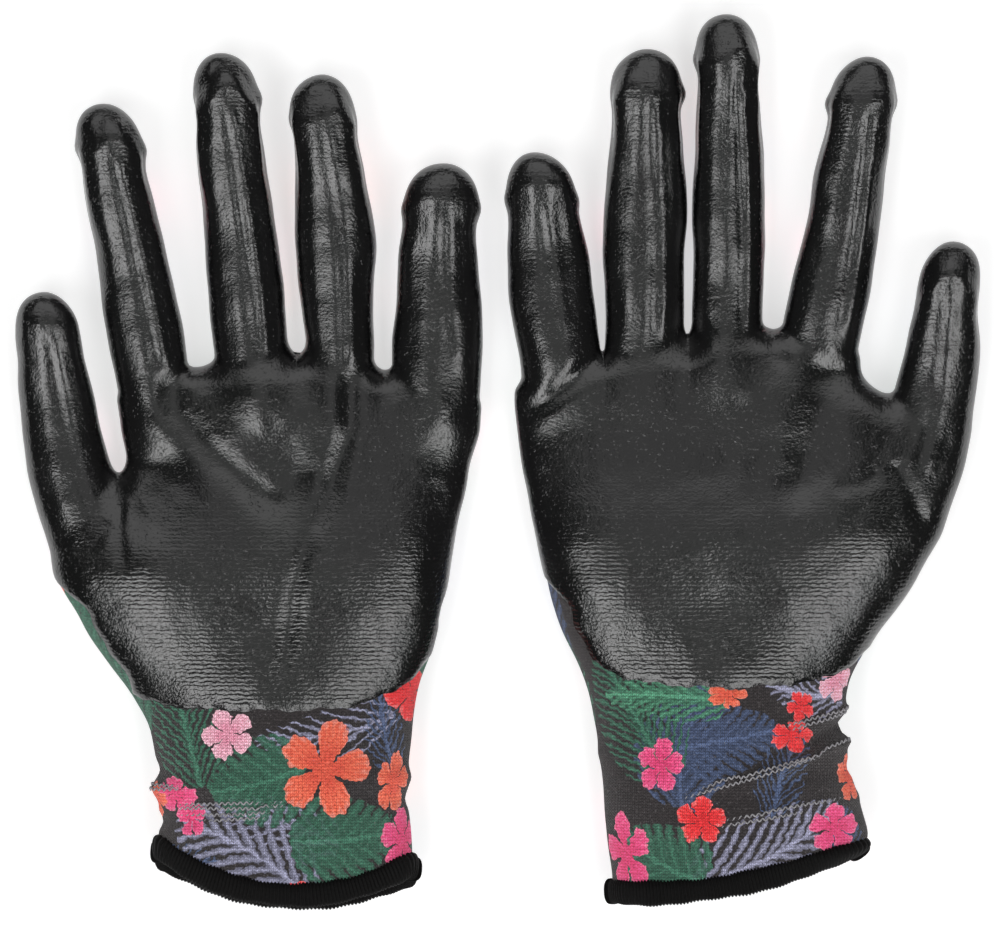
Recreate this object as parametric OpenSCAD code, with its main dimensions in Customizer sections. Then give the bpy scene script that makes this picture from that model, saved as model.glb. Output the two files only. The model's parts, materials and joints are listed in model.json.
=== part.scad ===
// A pair of knitted gardening gloves with a dipped nitrile palm, lying side by side on their backs.
// +Y runs from cuff to fingertips, +Z up out of the palms, and z = 0 is the surface they lie on.

/* [Layers] */
// Thickness of the knitted liner
liner_t = 1.2; // [0.9:0.1:1.5]
// Thickness of the nitrile coat on the palm side
coat_t = 0.8; // [0.5:0.1:1]

/* [Hand] */
// Height of the palm, as it lies
palm_h = 28; // [25:1:31]
// Height of a finger stall at its knuckle
finger_h = 16.5; // [15:0.5:18]
// How far the formed curl lifts a fingertip
tip_rise = 5; // [2:0.5:7]
// Length of the coat's cap over the back of a fingertip
cap_len = 16; // [12:1:20]

/* [Cuff] */
// Height of the cuff, as it lies
cuff_h = 26; // [23:1:28]
// Width of the overlocked hem
hem_w = 6; // [4:0.5:7]
// How far the overlocking stands proud of the knit
hem_t = 1.3; // [0.8:0.1:1.6]
// Bands of elastic thread laid into each cuff
elastic_turns = 6; // [2:1:6]
// Spacing of the elastic bands
elastic_pitch = 3; // [2:0.5:3]
// Thickness of a band of elastic thread
elastic_t = 0.6; // [0.4:0.1:0.8]

/* [Bending] */
// Furthest that a stall folds towards the palm at its knuckle, in degrees
knuckle_bend = 75; // [45:5:75]
// Furthest that a stall folds towards the palm at its middle joint, in degrees
middle_bend = 85; // [45:5:85]
// Furthest that a stall folds towards the back of the hand, in degrees
back_bend = 10; // [0:5:15]
// Furthest that the cuff folds either way at the wrist, in degrees
wrist_bend = 30; // [10:5:35]

/* [Hidden] */

FINGERS = ["thumb", "index", "middle", "ring", "little"];

// Each stall: knuckle, middle joint, pad and tip as [x, y], then its width at the first three.
LEFT_STALLS = [
    [[-117.8, -6], [-122.2, 20], [-124.6, 38], [-125, 47], [24, 21.5, 17]],
    [[-97.3, 34], [-101.5, 57], [-107.4, 89.5], [-108.4, 99], [22, 20.3, 17.6]],
    [[-68.8, 37], [-71.8, 66], [-75.5, 102], [-76.5, 113], [21.5, 20.8, 17.4]],
    [[-44.3, 36], [-45.2, 62], [-48.4, 96], [-48.4, 107], [19.5, 23, 17.6]],
    [[-17.2, 35], [-16.9, 55], [-16.1, 73], [-15.9, 82.5], [25.4, 22.6, 20]]
];
RIGHT_STALLS = [
    [[117.2, 5], [121.4, 30], [123.4, 50], [123.3, 61], [25, 22, 16.4]],
    [[90.3, 45], [94.8, 69], [99.4, 101], [100.8, 111.7], [23, 20.8, 18]],
    [[62.6, 45], [63.1, 75], [62.4, 112], [63.2, 123.5], [20, 20, 17]],
    [[39.6, 42], [39.9, 70], [40.4, 103], [40.9, 114], [22.4, 23, 19]],
    [[14.8, 42], [12.6, 62], [11, 76], [11.2, 85.2], [24.4, 21.6, 18.8]]
];
// How far a thumb's root reaches back into the palm, as [x, y] of its end
THUMB_ROOT = [[-104.5, -42], [101.5, -32]];
// How far a finger's root reaches back into the palm
root_len = 26;

// Cross-sections of the hand from the finger webs to the wrist: [y, low x, high x, height over palm_h].
LEFT_PALM = [
    [27, -107.5, -4.2, 0.64], [10, -102.2, -5.8, 0.82], [-12, -103, -10.8, 0.95], [-35, -119, -14.2, 1],
    [-50, -112.6, -16.6, 1], [-62, -102.6, -21.2, 0.97], [-74, -94.8, -23.6, 0.93]
];
RIGHT_PALM = [
    [33, 2.2, 100.6, 0.64], [12, 3.6, 99, 0.82], [-3, 5.8, 101.4, 0.92], [-26, 10.4, 115, 1],
    [-41, 13.6, 108.4, 1], [-54, 20.2, 98.4, 0.98], [-66, 24.2, 95.2, 0.94], [-74, 26.4, 94.6, 0.93]
];
// Cross-sections of the cuff, in the same form, with the height over cuff_h.
LEFT_CUFF = [
    [-73, -95, -23.4, 1], [-82, -93.4, -24, 0.98], [-87.5, -95, -24.4, 1.02], [-93, -93, -24, 0.99],
    [-104, -94.4, -23.6, 1], [-126, -98, -21.6, 1.02]
];
RIGHT_CUFF = [
    [-73, 26.4, 94.8, 1], [-80, 27, 95.4, 0.98], [-88, 27.4, 97.6, 1.02], [-98, 28.2, 101.4, 1],
    [-108, 29.6, 105.2, 1], [-126, 31, 109, 1.02]
];

// The cuff ends on an arc: [centre x, centre y, radius].
LEFT_MOUTH = [-55, -52, 71.5];
RIGHT_MOUTH = [33, 59, 180];
// Where the wrist folds: [x, y] of the fold's middle.
LEFT_WRIST = [-59, -77];
RIGHT_WRIST = [60.5, -77];

// The coat's edge on the heel of the palm, as the circles that its outline is drawn round: [x, y, radius].
LEFT_DIP = [[-85, -28, 38.6], [-47, -28, 38.6], [-66, -19, 48]];
RIGHT_DIP = [[45, -22, 38], [78, -22, 38], [62, -12, 49]];

// Outline of a cross-section: 2 is an ellipse, and more is squarer.
PALM_SQUARE = 2.5;
FINGER_SQUARE = 2.15;
PALM_SIDES = 28;
FINGER_SIDES = 16;
// Where the rounded end of a stall has its cross-sections, as shares of the way from pad to tip.
TIP_SHARES = [0.5, 0.8, 0.97];
// Clearance between parts that only touch.
touch = 0.02;
// Clearance between the two faces of a fold, at its axis.
fold_gap = 0.5;
// A size larger than any part, for cutting.
far = 200;
// How far the back of the hand is flattened where it lies, and the cuff with it.
flat_cut = 1.6;
cuff_sink = 0.4;
// Height of the underside of the cuff's knit, which lies on the hem.
cuff_floor = 0.9;
// How far below a stall's middle the coat reaches on its sides, as a share of its half height.
coat_wrap = 0.3;
// Where the first band of elastic lies, its width, and how far it lies inside the knit.
elastic_start = -83;
elastic_w = 1;
elastic_seat = 0.45;

finger_mid_z = finger_h / 2 + 0.4;
// Surfaces, as distances from the coat's outer face.
outer = 0;
liner_out = -coat_t;
liner_in = -coat_t - liner_t;

function stalls(left) = left ? LEFT_STALLS : RIGHT_STALLS;
function palm_rows(left) = left ? LEFT_PALM : RIGHT_PALM;
function cuff_rows(left) = left ? LEFT_CUFF : RIGHT_CUFF;
function mouth(left) = left ? LEFT_MOUTH : RIGHT_MOUTH;
function wrist(left) = left ? LEFT_WRIST : RIGHT_WRIST;
function dip(left) = left ? LEFT_DIP : RIGHT_DIP;

function heading(a, b) = atan2(b[1] - a[1], b[0] - a[0]);
function turned(d, along) = along * [cos(d), sin(d)];
// The root, knuckle, middle joint and pad of a stall: [x, y, z, width, height, heading].
function stations(left, f) =
    let (
        s = stalls(left)[f],
        low = heading(s[0], s[1]),
        up = heading(s[1], s[2]),
        tip = heading(s[2], s[3]),
        root = f == 0 ? THUMB_ROOT[left ? 0 : 1] : s[0] - turned(low, root_len),
        first = heading(root, s[0]),
        w = s[4]
    ) [
        [root[0], root[1], finger_mid_z + 2, w[0] + 1, finger_h + 3, first],
        [s[0][0], s[0][1], finger_mid_z, w[0], finger_h, (first + low) / 2],
        [s[1][0], s[1][1], finger_mid_z + tip_rise * 0.2, w[1], finger_h - 0.5, (low + up) / 2],
        [s[2][0], s[2][1], finger_mid_z + tip_rise * 0.85, w[2], finger_h - 2.5, (up + tip) / 2]
    ];
function tip_point(left, f) = stalls(left)[f][3];

function rounded(value, power) = sign(value) * pow(abs(value), 2 / power);
function outline(half_w, half_h, square, sides) = [
    for (i = [0 : sides - 1]) let (a = 360 * (i + 0.5) / sides)
        [half_w * rounded(cos(a), square), half_h * rounded(sin(a), square)]
];

// The points of an upright cross-section at y.
function ring(x, y, z, half_w, half_h, square, sides) =
    [for (p = outline(half_w, half_h, square, sides)) [x + p[0], y, z + p[1]]];

// Solid lengths between each cross-section and the next, which share the cross-section exactly.
module loft(rings) {
    for (i = [0 : len(rings) - 2]) hull()
        polyhedron(concat(rings[i], rings[i + 1]), [[for (k = [0 : 2 * len(rings[i]) - 1]) k]]);
}

function stall_ring(s, y, skin) =
    ring(s[0], y, s[2], s[3] / 2 + skin, s[4] / 2 + skin, FINGER_SQUARE, FINGER_SIDES);

// A whole stall from its root in the palm to its tip, whose surface lies skin outside the coat's.
// Both its ends are closed, so they move with the skin too.
module stall(left, f, skin) {
    s = stations(left, f);
    pad = s[3];
    tip = tip_point(left, f);
    loft(concat(
        [stall_ring(s[0], s[0][1] - skin, skin)],
        [for (i = [1 : 3]) stall_ring(s[i], s[i][1], skin)],
        [for (share = TIP_SHARES) let (narrow = sqrt(1 - share * share))
            ring(pad[0] + share * (tip[0] - pad[0]), pad[1] + share * (tip[1] + skin - pad[1]),
                pad[2] + tip_rise * 0.15 * share, (pad[3] / 2 + skin) * narrow,
                (pad[4] / 2 + skin) * narrow, FINGER_SQUARE, FINGER_SIDES)]
    ));
}

// A run of the hand's or cuff's cross-sections, sunk into the surface below by sink. Its first end is closed.
module lofted(rows, height, sink, skin) {
    loft([for (j = [0 : len(rows) - 1]) let (r = rows[j])
        ring((r[1] + r[2]) / 2, r[0] + (j == 0 ? skin : 0), height * r[3] / 2 - sink,
            (r[2] - r[1]) / 2 + skin, height * r[3] / 2 + skin, PALM_SQUARE, PALM_SIDES)]);
}

// The same rows with the last one carried on by more, so that a space runs out through its end.
function carried_on(rows, more) =
    let (last = rows[len(rows) - 1]) concat(rows, [[last[0] - more, last[1], last[2], last[3]]]);

// Everything past a fold, seen along heading d: faces lean away by high above the axis and low below it.
module past_fold(x, y, z, d, high, low) {
    translate([x, y, z]) rotate([0, 0, d]) rotate([90, 0, 0])
        linear_extrude(height = far, center = true) polygon([
            [fold_gap / 2, 0], [fold_gap / 2 + 40 * tan(high), 40], [far, 40],
            [far, -40], [fold_gap / 2 + 40 * tan(low), -40]
        ]);
}

module past_joint(s, bend) { past_fold(s[0], s[1], s[2], s[5], bend / 2 + 1, back_bend / 2 + 1); }
module before_joint(s, bend) {
    past_fold(s[0], s[1], s[2], s[5] + 180, bend / 2 + 1, back_bend / 2 + 1);
}

// The part of a stall between its knuckle and its middle joint.
module lower_stall(left, f, skin) {
    s = stations(left, f);
    intersection() {
        stall(left, f, skin);
        past_joint(s[1], knuckle_bend);
        before_joint(s[2], middle_bend);
    }
}

// The part of a stall past its middle joint.
module tip_stall(left, f, skin) {
    intersection() {
        stall(left, f, skin);
        past_joint(stations(left, f)[2], middle_bend);
    }
}

// The outside of the palm with the roots of its stalls, flattened at floor_z.
module hand(left, skin, floor_z) {
    w = wrist(left);
    difference() {
        union() {
            lofted(palm_rows(left), palm_h, flat_cut, skin);
            for (f = [0 : 4]) intersection() {
                stall(left, f, skin);
                before_joint(stations(left, f)[1], knuckle_bend);
            }
        }
        translate([-far, -far, -far + floor_z]) cube([2 * far, 2 * far, far]);
        past_fold(w[0], w[1] + fold_gap, cuff_h / 2, -90, wrist_bend / 2 + 1, wrist_bend / 2 + 1);
    }
}

// The space inside the hand, which runs on into the stalls and the cuff.
module hand_space(left, skin, floor_z) {
    difference() {
        union() {
            lofted(carried_on(palm_rows(left), 15), palm_h, flat_cut, skin);
            for (f = [0 : 4]) stall(left, f, skin);
        }
        translate([-far, -far, -far + floor_z]) cube([2 * far, 2 * far, far]);
    }
}

// Above a slope that follows the middle of the stalls, where the coat ends on their sides.
module coated_side(left, f, s_from, s_to) {
    s = stations(left, f);
    a = s[s_from];
    b = s[s_to];
    drop = coat_wrap * finger_h / 2;
    hull() for (p = [a, b]) let (back = p == a ? -30 : 30)
        translate([p[0] + turned(s[s_to][5], back)[0], p[1] + turned(s[s_to][5], back)[1], p[2] - drop])
            rotate([0, 0, s[s_to][5] - 90]) translate([-20, -0.1, 0]) cube([40, 0.2, 40]);
}

// The outline that the hand was dipped to, seen from above.
module dipped(left) {
    linear_extrude(height = far, center = true) hull() {
        for (c = dip(left)) translate([c[0], c[1]]) circle(r = c[2], $fn = 48);
        translate([left ? -135 : -5, 0]) square([left ? 140 : 145, 150]);
    }
}

module palm_liner(left) {
    color("dimgray") difference() {
        hand(left, liner_out, 0);
        hand_space(left, liner_in, liner_t);
    }
}

module palm_coat(left) {
    color("black") intersection() {
        difference() {
            hand(left, outer, 0);
            hand_space(left, liner_out + touch, -1);
        }
        dipped(left);
        translate([-far, -far, finger_mid_z - coat_wrap * finger_h / 2 + 0.6]) cube(2 * far);
    }
}

// Everything inside the arc of the mouth, moved back from the hem's edge by back.
module inside_mouth(left, back) {
    m = mouth(left);
    translate([m[0], m[1] + back, -far / 2]) cylinder(r = m[2], h = far, $fn = left ? 60 : 120);
}

// The outside of the cuff, ending back from the hem's edge.
module cuff_body(left, skin, back, floor_z) {
    w = wrist(left);
    intersection() {
        lofted(cuff_rows(left), cuff_h, cuff_sink, skin);
        inside_mouth(left, back);
        translate([-far, -far, floor_z]) cube(2 * far);
        past_fold(w[0], w[1], cuff_h / 2, -90, wrist_bend / 2 + 1, wrist_bend / 2 + 1);
    }
}

// The space inside the cuff, which runs out through both its ends.
module cuff_space(left, skin, floor_z) {
    intersection() {
        lofted(carried_on(cuff_rows(left), 10), cuff_h, cuff_sink, skin);
        translate([-far, -far, floor_z]) cube(2 * far);
    }
}

module cuff_liner(left) {
    color("darkslategray") difference() {
        cuff_body(left, liner_out, 1, cuff_floor);
        cuff_space(left, liner_in, cuff_floor + liner_t);
    }
}

// The cuff's cross-section at y, as a row.
function cuff_row(left, y) =
    let (rows = cuff_rows(left)) [y, for (k = [1 : 3]) lookup(y, [for (r = rows) [r[0], r[k]]])];

// The outline of the cuff's row r, cut off level at floor_z.
module cuff_outline(r, skin, floor_z) {
    mid_z = cuff_h * r[3] / 2 - cuff_sink;
    intersection() {
        translate([(r[1] + r[2]) / 2, mid_z])
            polygon(outline((r[2] - r[1]) / 2 + skin, cuff_h * r[3] / 2 + skin, PALM_SQUARE, PALM_SIDES));
        translate([-far, floor_z]) square(2 * far);
    }
}

module cuff_elastic(left) {
    color("white") for (i = [0 : elastic_turns - 1]) {
        r = cuff_row(left, elastic_start - i * elastic_pitch);
        translate([0, r[0], 0]) rotate([90, 0, 0]) linear_extrude(height = elastic_w) difference() {
            cuff_outline(r, liner_in - elastic_seat, cuff_floor + liner_t + elastic_seat);
            cuff_outline(r, liner_in - elastic_seat - elastic_t, cuff_floor + liner_t + elastic_seat + elastic_t);
        }
    }
}

module hem_overlock(left) {
    color("black") difference() {
        cuff_body(left, liner_out + hem_t, 0, 0);
        cuff_space(left, liner_in - hem_t / 2, cuff_floor + liner_t + hem_t / 2);
        inside_mouth(left, hem_w);
        // The knit's edge, which the overlocking wraps.
        difference() {
            cuff_body(left, liner_out + touch, 1 - touch, cuff_floor - touch);
            cuff_space(left, liner_in - touch, cuff_floor + liner_t + touch);
        }
    }
}

module lower_liner(left, f) {
    color("dimgray") difference() {
        lower_stall(left, f, liner_out);
        stall(left, f, liner_in);
    }
}

module lower_coat(left, f) {
    color("black") intersection() {
        difference() {
            lower_stall(left, f, outer);
            stall(left, f, liner_out + touch);
        }
        coated_side(left, f, 1, 2);
    }
}

module tip_liner(left, f) {
    color("dimgray") difference() {
        tip_stall(left, f, liner_out);
        stall(left, f, liner_in);
    }
}

module tip_coat(left, f) {
    s = stations(left, f)[3];
    back = turned(s[5], cap_len - norm(tip_point(left, f) - [s[0], s[1]]));
    color("black") intersection() {
        difference() {
            tip_stall(left, f, outer);
            stall(left, f, liner_out + touch);
        }
        union() {
            coated_side(left, f, 2, 3);
            translate([s[0] - back[0], s[1] - back[1], 0]) rotate([0, 0, s[5]])
                translate([0, -50, -50]) cube(100);
        }
    }
}

for (left = [true, false]) {
    side = left ? "left_" : "right_";
    palm_liner(left);
    palm_coat(left);
    cuff_liner(left);
    cuff_elastic(left);
    hem_overlock(left);
    for (f = [0 : 4]) {
        name = str(side, FINGERS[f]);
        lower_liner(left, f);
        lower_coat(left, f);
        tip_liner(left, f);
        tip_coat(left, f);
    }
}
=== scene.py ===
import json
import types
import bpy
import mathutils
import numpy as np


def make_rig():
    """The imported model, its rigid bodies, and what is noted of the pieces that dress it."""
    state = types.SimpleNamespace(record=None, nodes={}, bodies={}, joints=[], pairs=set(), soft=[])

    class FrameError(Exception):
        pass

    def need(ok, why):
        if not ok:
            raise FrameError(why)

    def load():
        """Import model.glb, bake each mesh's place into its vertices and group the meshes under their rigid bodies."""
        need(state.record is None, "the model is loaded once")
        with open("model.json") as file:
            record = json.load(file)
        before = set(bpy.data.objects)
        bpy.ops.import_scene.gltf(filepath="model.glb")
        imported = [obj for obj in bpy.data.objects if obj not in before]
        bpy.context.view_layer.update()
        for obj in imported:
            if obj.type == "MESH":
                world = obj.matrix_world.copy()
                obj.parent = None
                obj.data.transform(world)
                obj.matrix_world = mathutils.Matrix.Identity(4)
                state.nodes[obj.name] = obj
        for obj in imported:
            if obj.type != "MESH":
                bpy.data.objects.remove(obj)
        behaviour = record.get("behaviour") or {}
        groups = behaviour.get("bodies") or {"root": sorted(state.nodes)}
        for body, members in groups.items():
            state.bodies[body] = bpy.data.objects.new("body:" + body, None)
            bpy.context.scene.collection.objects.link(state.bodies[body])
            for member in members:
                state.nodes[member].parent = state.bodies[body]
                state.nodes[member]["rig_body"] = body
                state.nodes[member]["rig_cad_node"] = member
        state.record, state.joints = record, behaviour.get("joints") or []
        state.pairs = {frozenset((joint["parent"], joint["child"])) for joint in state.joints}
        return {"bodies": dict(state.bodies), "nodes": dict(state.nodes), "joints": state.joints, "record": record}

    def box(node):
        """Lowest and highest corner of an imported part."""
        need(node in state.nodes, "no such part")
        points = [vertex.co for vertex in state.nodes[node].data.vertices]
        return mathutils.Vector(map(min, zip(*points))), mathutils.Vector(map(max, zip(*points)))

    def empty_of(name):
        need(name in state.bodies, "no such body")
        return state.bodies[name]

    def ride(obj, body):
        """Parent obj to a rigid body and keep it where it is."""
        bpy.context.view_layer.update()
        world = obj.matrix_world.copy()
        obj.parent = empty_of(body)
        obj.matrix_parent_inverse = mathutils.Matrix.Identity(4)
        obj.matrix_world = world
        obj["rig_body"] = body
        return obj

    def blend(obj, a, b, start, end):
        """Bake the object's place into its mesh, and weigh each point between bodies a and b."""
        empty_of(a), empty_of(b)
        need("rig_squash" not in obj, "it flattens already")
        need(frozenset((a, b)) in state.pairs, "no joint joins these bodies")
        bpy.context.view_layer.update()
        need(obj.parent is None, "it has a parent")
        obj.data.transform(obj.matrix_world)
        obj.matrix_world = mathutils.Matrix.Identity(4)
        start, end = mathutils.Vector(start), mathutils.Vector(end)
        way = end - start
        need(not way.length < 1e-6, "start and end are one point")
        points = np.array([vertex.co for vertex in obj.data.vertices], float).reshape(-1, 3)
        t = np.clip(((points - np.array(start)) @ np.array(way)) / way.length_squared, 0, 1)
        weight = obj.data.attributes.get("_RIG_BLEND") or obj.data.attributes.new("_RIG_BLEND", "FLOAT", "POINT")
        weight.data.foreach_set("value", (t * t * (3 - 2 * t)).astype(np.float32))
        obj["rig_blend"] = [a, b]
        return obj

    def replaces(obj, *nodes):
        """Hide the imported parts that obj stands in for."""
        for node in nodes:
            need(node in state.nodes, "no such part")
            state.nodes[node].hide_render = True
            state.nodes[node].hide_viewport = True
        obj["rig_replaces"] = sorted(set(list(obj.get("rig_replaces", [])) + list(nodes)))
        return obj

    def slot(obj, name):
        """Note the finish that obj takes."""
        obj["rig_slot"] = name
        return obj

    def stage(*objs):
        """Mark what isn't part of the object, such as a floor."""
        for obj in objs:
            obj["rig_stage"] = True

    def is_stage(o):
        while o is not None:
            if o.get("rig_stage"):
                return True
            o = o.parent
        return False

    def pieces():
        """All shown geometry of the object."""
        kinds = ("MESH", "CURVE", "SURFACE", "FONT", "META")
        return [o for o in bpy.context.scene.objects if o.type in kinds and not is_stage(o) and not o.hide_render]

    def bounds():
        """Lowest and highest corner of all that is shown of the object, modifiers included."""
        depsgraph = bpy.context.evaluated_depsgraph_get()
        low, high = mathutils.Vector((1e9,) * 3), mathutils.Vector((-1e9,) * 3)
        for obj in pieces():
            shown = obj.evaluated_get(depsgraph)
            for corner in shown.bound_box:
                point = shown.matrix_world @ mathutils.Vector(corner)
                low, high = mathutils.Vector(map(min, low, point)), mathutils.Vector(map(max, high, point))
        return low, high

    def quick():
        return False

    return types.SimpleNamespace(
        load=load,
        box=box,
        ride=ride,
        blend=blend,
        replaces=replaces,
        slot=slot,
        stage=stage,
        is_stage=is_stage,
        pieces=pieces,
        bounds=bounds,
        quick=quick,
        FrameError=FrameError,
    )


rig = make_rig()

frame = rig.load()
cad_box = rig.bounds()

import json
import math

import bpy
import numpy as np

# All shapes are worked out in millimetres in the CAD's frame, and written to Blender in metres.
MM = 0.001
SIDES = ("left", "right")
FINGERS = ("thumb", "index", "middle", "ring", "little")

COAT_T = 0.7        # how far the nitrile stands over the knit
EDGE_T = 0.12       # how far it stands over the knit at its edge
GAP = 0.03          # between the knit and the nitrile over it
KNIT_T = 0.95       # the knit's wall
CELL = 1.8 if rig.quick() else 1.0   # size of the mesh's cells over the hand
CAP = 10.0          # length of the rounded end of a stall
ROOT_DOME = 10.0    # length of the rounded start of a stall, inside the palm
WEB_BLEND = 6.5     # radius that rounds a stall into the palm
TURN = 17.0         # length over which a stall turns at a joint
GRAIN = 0.06        # a point nearer to a cut than this counts as beyond it
CUFF_START = 8.5    # how far on the hand's side of the wrist's axis the cuff starts
CUFF_MIDDLE = 13.0  # about half the cuff's height
STALL_POWER = 2.15  # the power of a stall's sections, which are superellipses: 2 would be an ellipse
PALM_POWER = 2.5    # the power of the palm's and the cuff's sections
RIBS = 168          # ribs of the overlock thread round a cuff
STITCHES = 100      # stitches of the elastic thread round a cuff
THREAD_R = 0.24     # radius of the elastic thread
WALE = 1.05         # width of a column of the knit's stitches
COURSE = 0.82       # height of its courses
COAT_COURSE = 1.16  # height of the courses that show through the nitrile

JOINTS = {j["name"]: j for j in frame["joints"]}

# Where the edge of the palm's end lies between its stalls, as [x, y], from one side to the other.
WEBS = {
    "left": [(-110, 24), (-97, 26), (-81, 28.2), (-55, 29.5), (-31.4, 26.2), (-12, 24), (0, 22)],
    "right": [(0, 27), (12, 28), (25.9, 30), (50.6, 33), (74.3, 37.8), (92, 37), (105, 35)],
}
# How far up the hand each stall is still joined to its neighbours or the palm.
SEAMS = {
    "left_thumb": -12.0, "left_index": 30.0, "left_middle": 31.3, "left_ring": 31.3, "left_little": 28.0,
    "right_thumb": -1.0, "right_index": 39.6, "right_middle": 39.6, "right_ring": 35.5, "right_little": 32.0,
}
# The mouth of each cuff, an arc: centre and radius, then how far the upper lip stands back from the lower.
MOUTHS = {"left": (-55, -52, 71.5, 3.0), "right": (33, 59, 180.0, 0.6)}
# The outline that each hand was dipped to, as the circles that it is drawn round.
DIPS = {
    "left": [(-85, -28, 38.6), (-47, -28, 38.6), (-66, -19, 48),
             (-135, 0, 0), (5, 0, 0), (-135, 150, 0), (5, 150, 0)],
    "right": [(45, -22, 38), (78, -22, 38), (62, -12, 49),
              (-5, 0, 0), (140, 0, 0), (-5, 150, 0), (140, 150, 0)],
}
# How high the coat's edge lies along the sides, and how much higher it is beside the heel: on the little
# finger's side, then on the thumb's.
COAT_EDGE = 6.8
BARE = {"left": (8.0, 12.8), "right": (13.6, 6.0)}


# ---------------------------------------------------------------- small helpers, and reading the frame

def smooth(t):
    t = np.clip(t, 0.0, 1.0)
    return t * t * (3.0 - 2.0 * t)


def bell(t):
    return np.exp(-t ** 2)


def unit(v):
    return v / np.linalg.norm(v, axis=1)[:, None]


def signed_power(v, power):
    return np.sign(v) * np.abs(v) ** power


def lifted(normals):
    """0 where a surface faces straight down, rising to 1 where it leans well away from that."""
    return smooth((normals[:, 2] + 0.95) / 0.5)


def joint_point(name):
    return np.array(JOINTS[name]["pos_m"]) / MM


def joint_heading(name):
    """The way the stall points at a joint: square to its axis, away from the cuff."""
    ax = np.array(JOINTS[name]["axis"], float)
    return np.array([-ax[1], ax[0], 0.0])


def cad_mesh(node):
    me = frame["nodes"][node].data
    me.calc_loop_triangles()
    co = np.zeros(len(me.vertices) * 3)
    me.vertices.foreach_get("co", co)
    tri = np.zeros(len(me.loop_triangles) * 3, np.int64)
    me.loop_triangles.foreach_get("vertices", tri)
    return co.reshape(-1, 3) / MM, tri.reshape(-1, 3)


def cad_section(nodes, y):
    """Low x, high x, low z and high z of where these CAD nodes cross the plane at y."""
    hits = []
    for node in nodes:
        co, tri = cad_mesh(node)
        for a, b in ((0, 1), (1, 2), (2, 0)):
            p, q = co[tri[:, a]], co[tri[:, b]]
            cross = (p[:, 1] - y) * (q[:, 1] - y) < 0
            p, q = p[cross], q[cross]
            t = ((y - p[:, 1]) / (q[:, 1] - p[:, 1]))[:, None]
            hits.append(p + (q - p) * t)
    hits = np.concatenate(hits)
    return hits[:, 0].min(), hits[:, 0].max(), hits[:, 2].min(), hits[:, 2].max()


# ---------------------------------------------------------------- lofts

class Loft:
    """A round body along Y, whose centre and half sizes are smooth functions of y. Its ends are domed.

    A station is y, centre x, centre z, half width and half height. Soften gives the lengths over which
    the stations are smoothed, in plan and then in height.
    """

    def __init__(self, stations, power, domes, soften):
        stations = sorted(stations)
        ys = np.array([s[0] for s in stations])
        self.low, self.high = ys[0], ys[-1]
        step, reach = 0.5, 30
        self.grid = np.arange(ys[0] - 20, ys[-1] + 20, step)
        self.rows = []
        for k in (1, 2, 3, 4):
            kernel = np.exp(-0.5 * (np.arange(-reach, reach + 1) * step / soften[(k + 1) % 2]) ** 2)
            kernel /= kernel.sum()
            row = np.interp(self.grid, ys, [s[k] for s in stations])
            self.rows.append(np.convolve(np.pad(row, reach, mode="edge"), kernel, mode="valid"))
        self.power, self.domes = power, domes

    def at(self, y):
        """Centre x, centre z, half width and half height at y."""
        return [np.interp(y, self.grid, row) for row in self.rows]

    def distance(self, p):
        """Signed distance to the surface, which is exact enough near it."""
        x, y, z = p.T
        cx, cz, a, b = self.at(np.clip(y, self.low, self.high))
        dome_low, dome_high = self.domes
        over = np.maximum(y - (self.high - dome_high), 0)
        under = np.maximum(self.low + dome_low - y, 0)
        dy = over + under
        share = over / dome_high + under / dome_low
        dx, dz = x - cx, z - cz
        n = self.power
        flat = (np.abs(dx) / a) ** n + (np.abs(dz) / b) ** n
        rho = np.sqrt(flat ** (2 / n) + share ** 2)
        rho = np.maximum(rho, 1e-4)
        reach = np.sqrt(dx * dx + dz * dz + dy * dy)
        return np.where(rho < 0.02, -a, reach * (1 - 1 / rho))


def soft_min(a, b, k):
    """The smaller of a and b, rounded over k where they are near to each other."""
    h = np.maximum(k - np.abs(a - b), 0) / k
    return np.minimum(a, b) - h * h * k / 4


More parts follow.
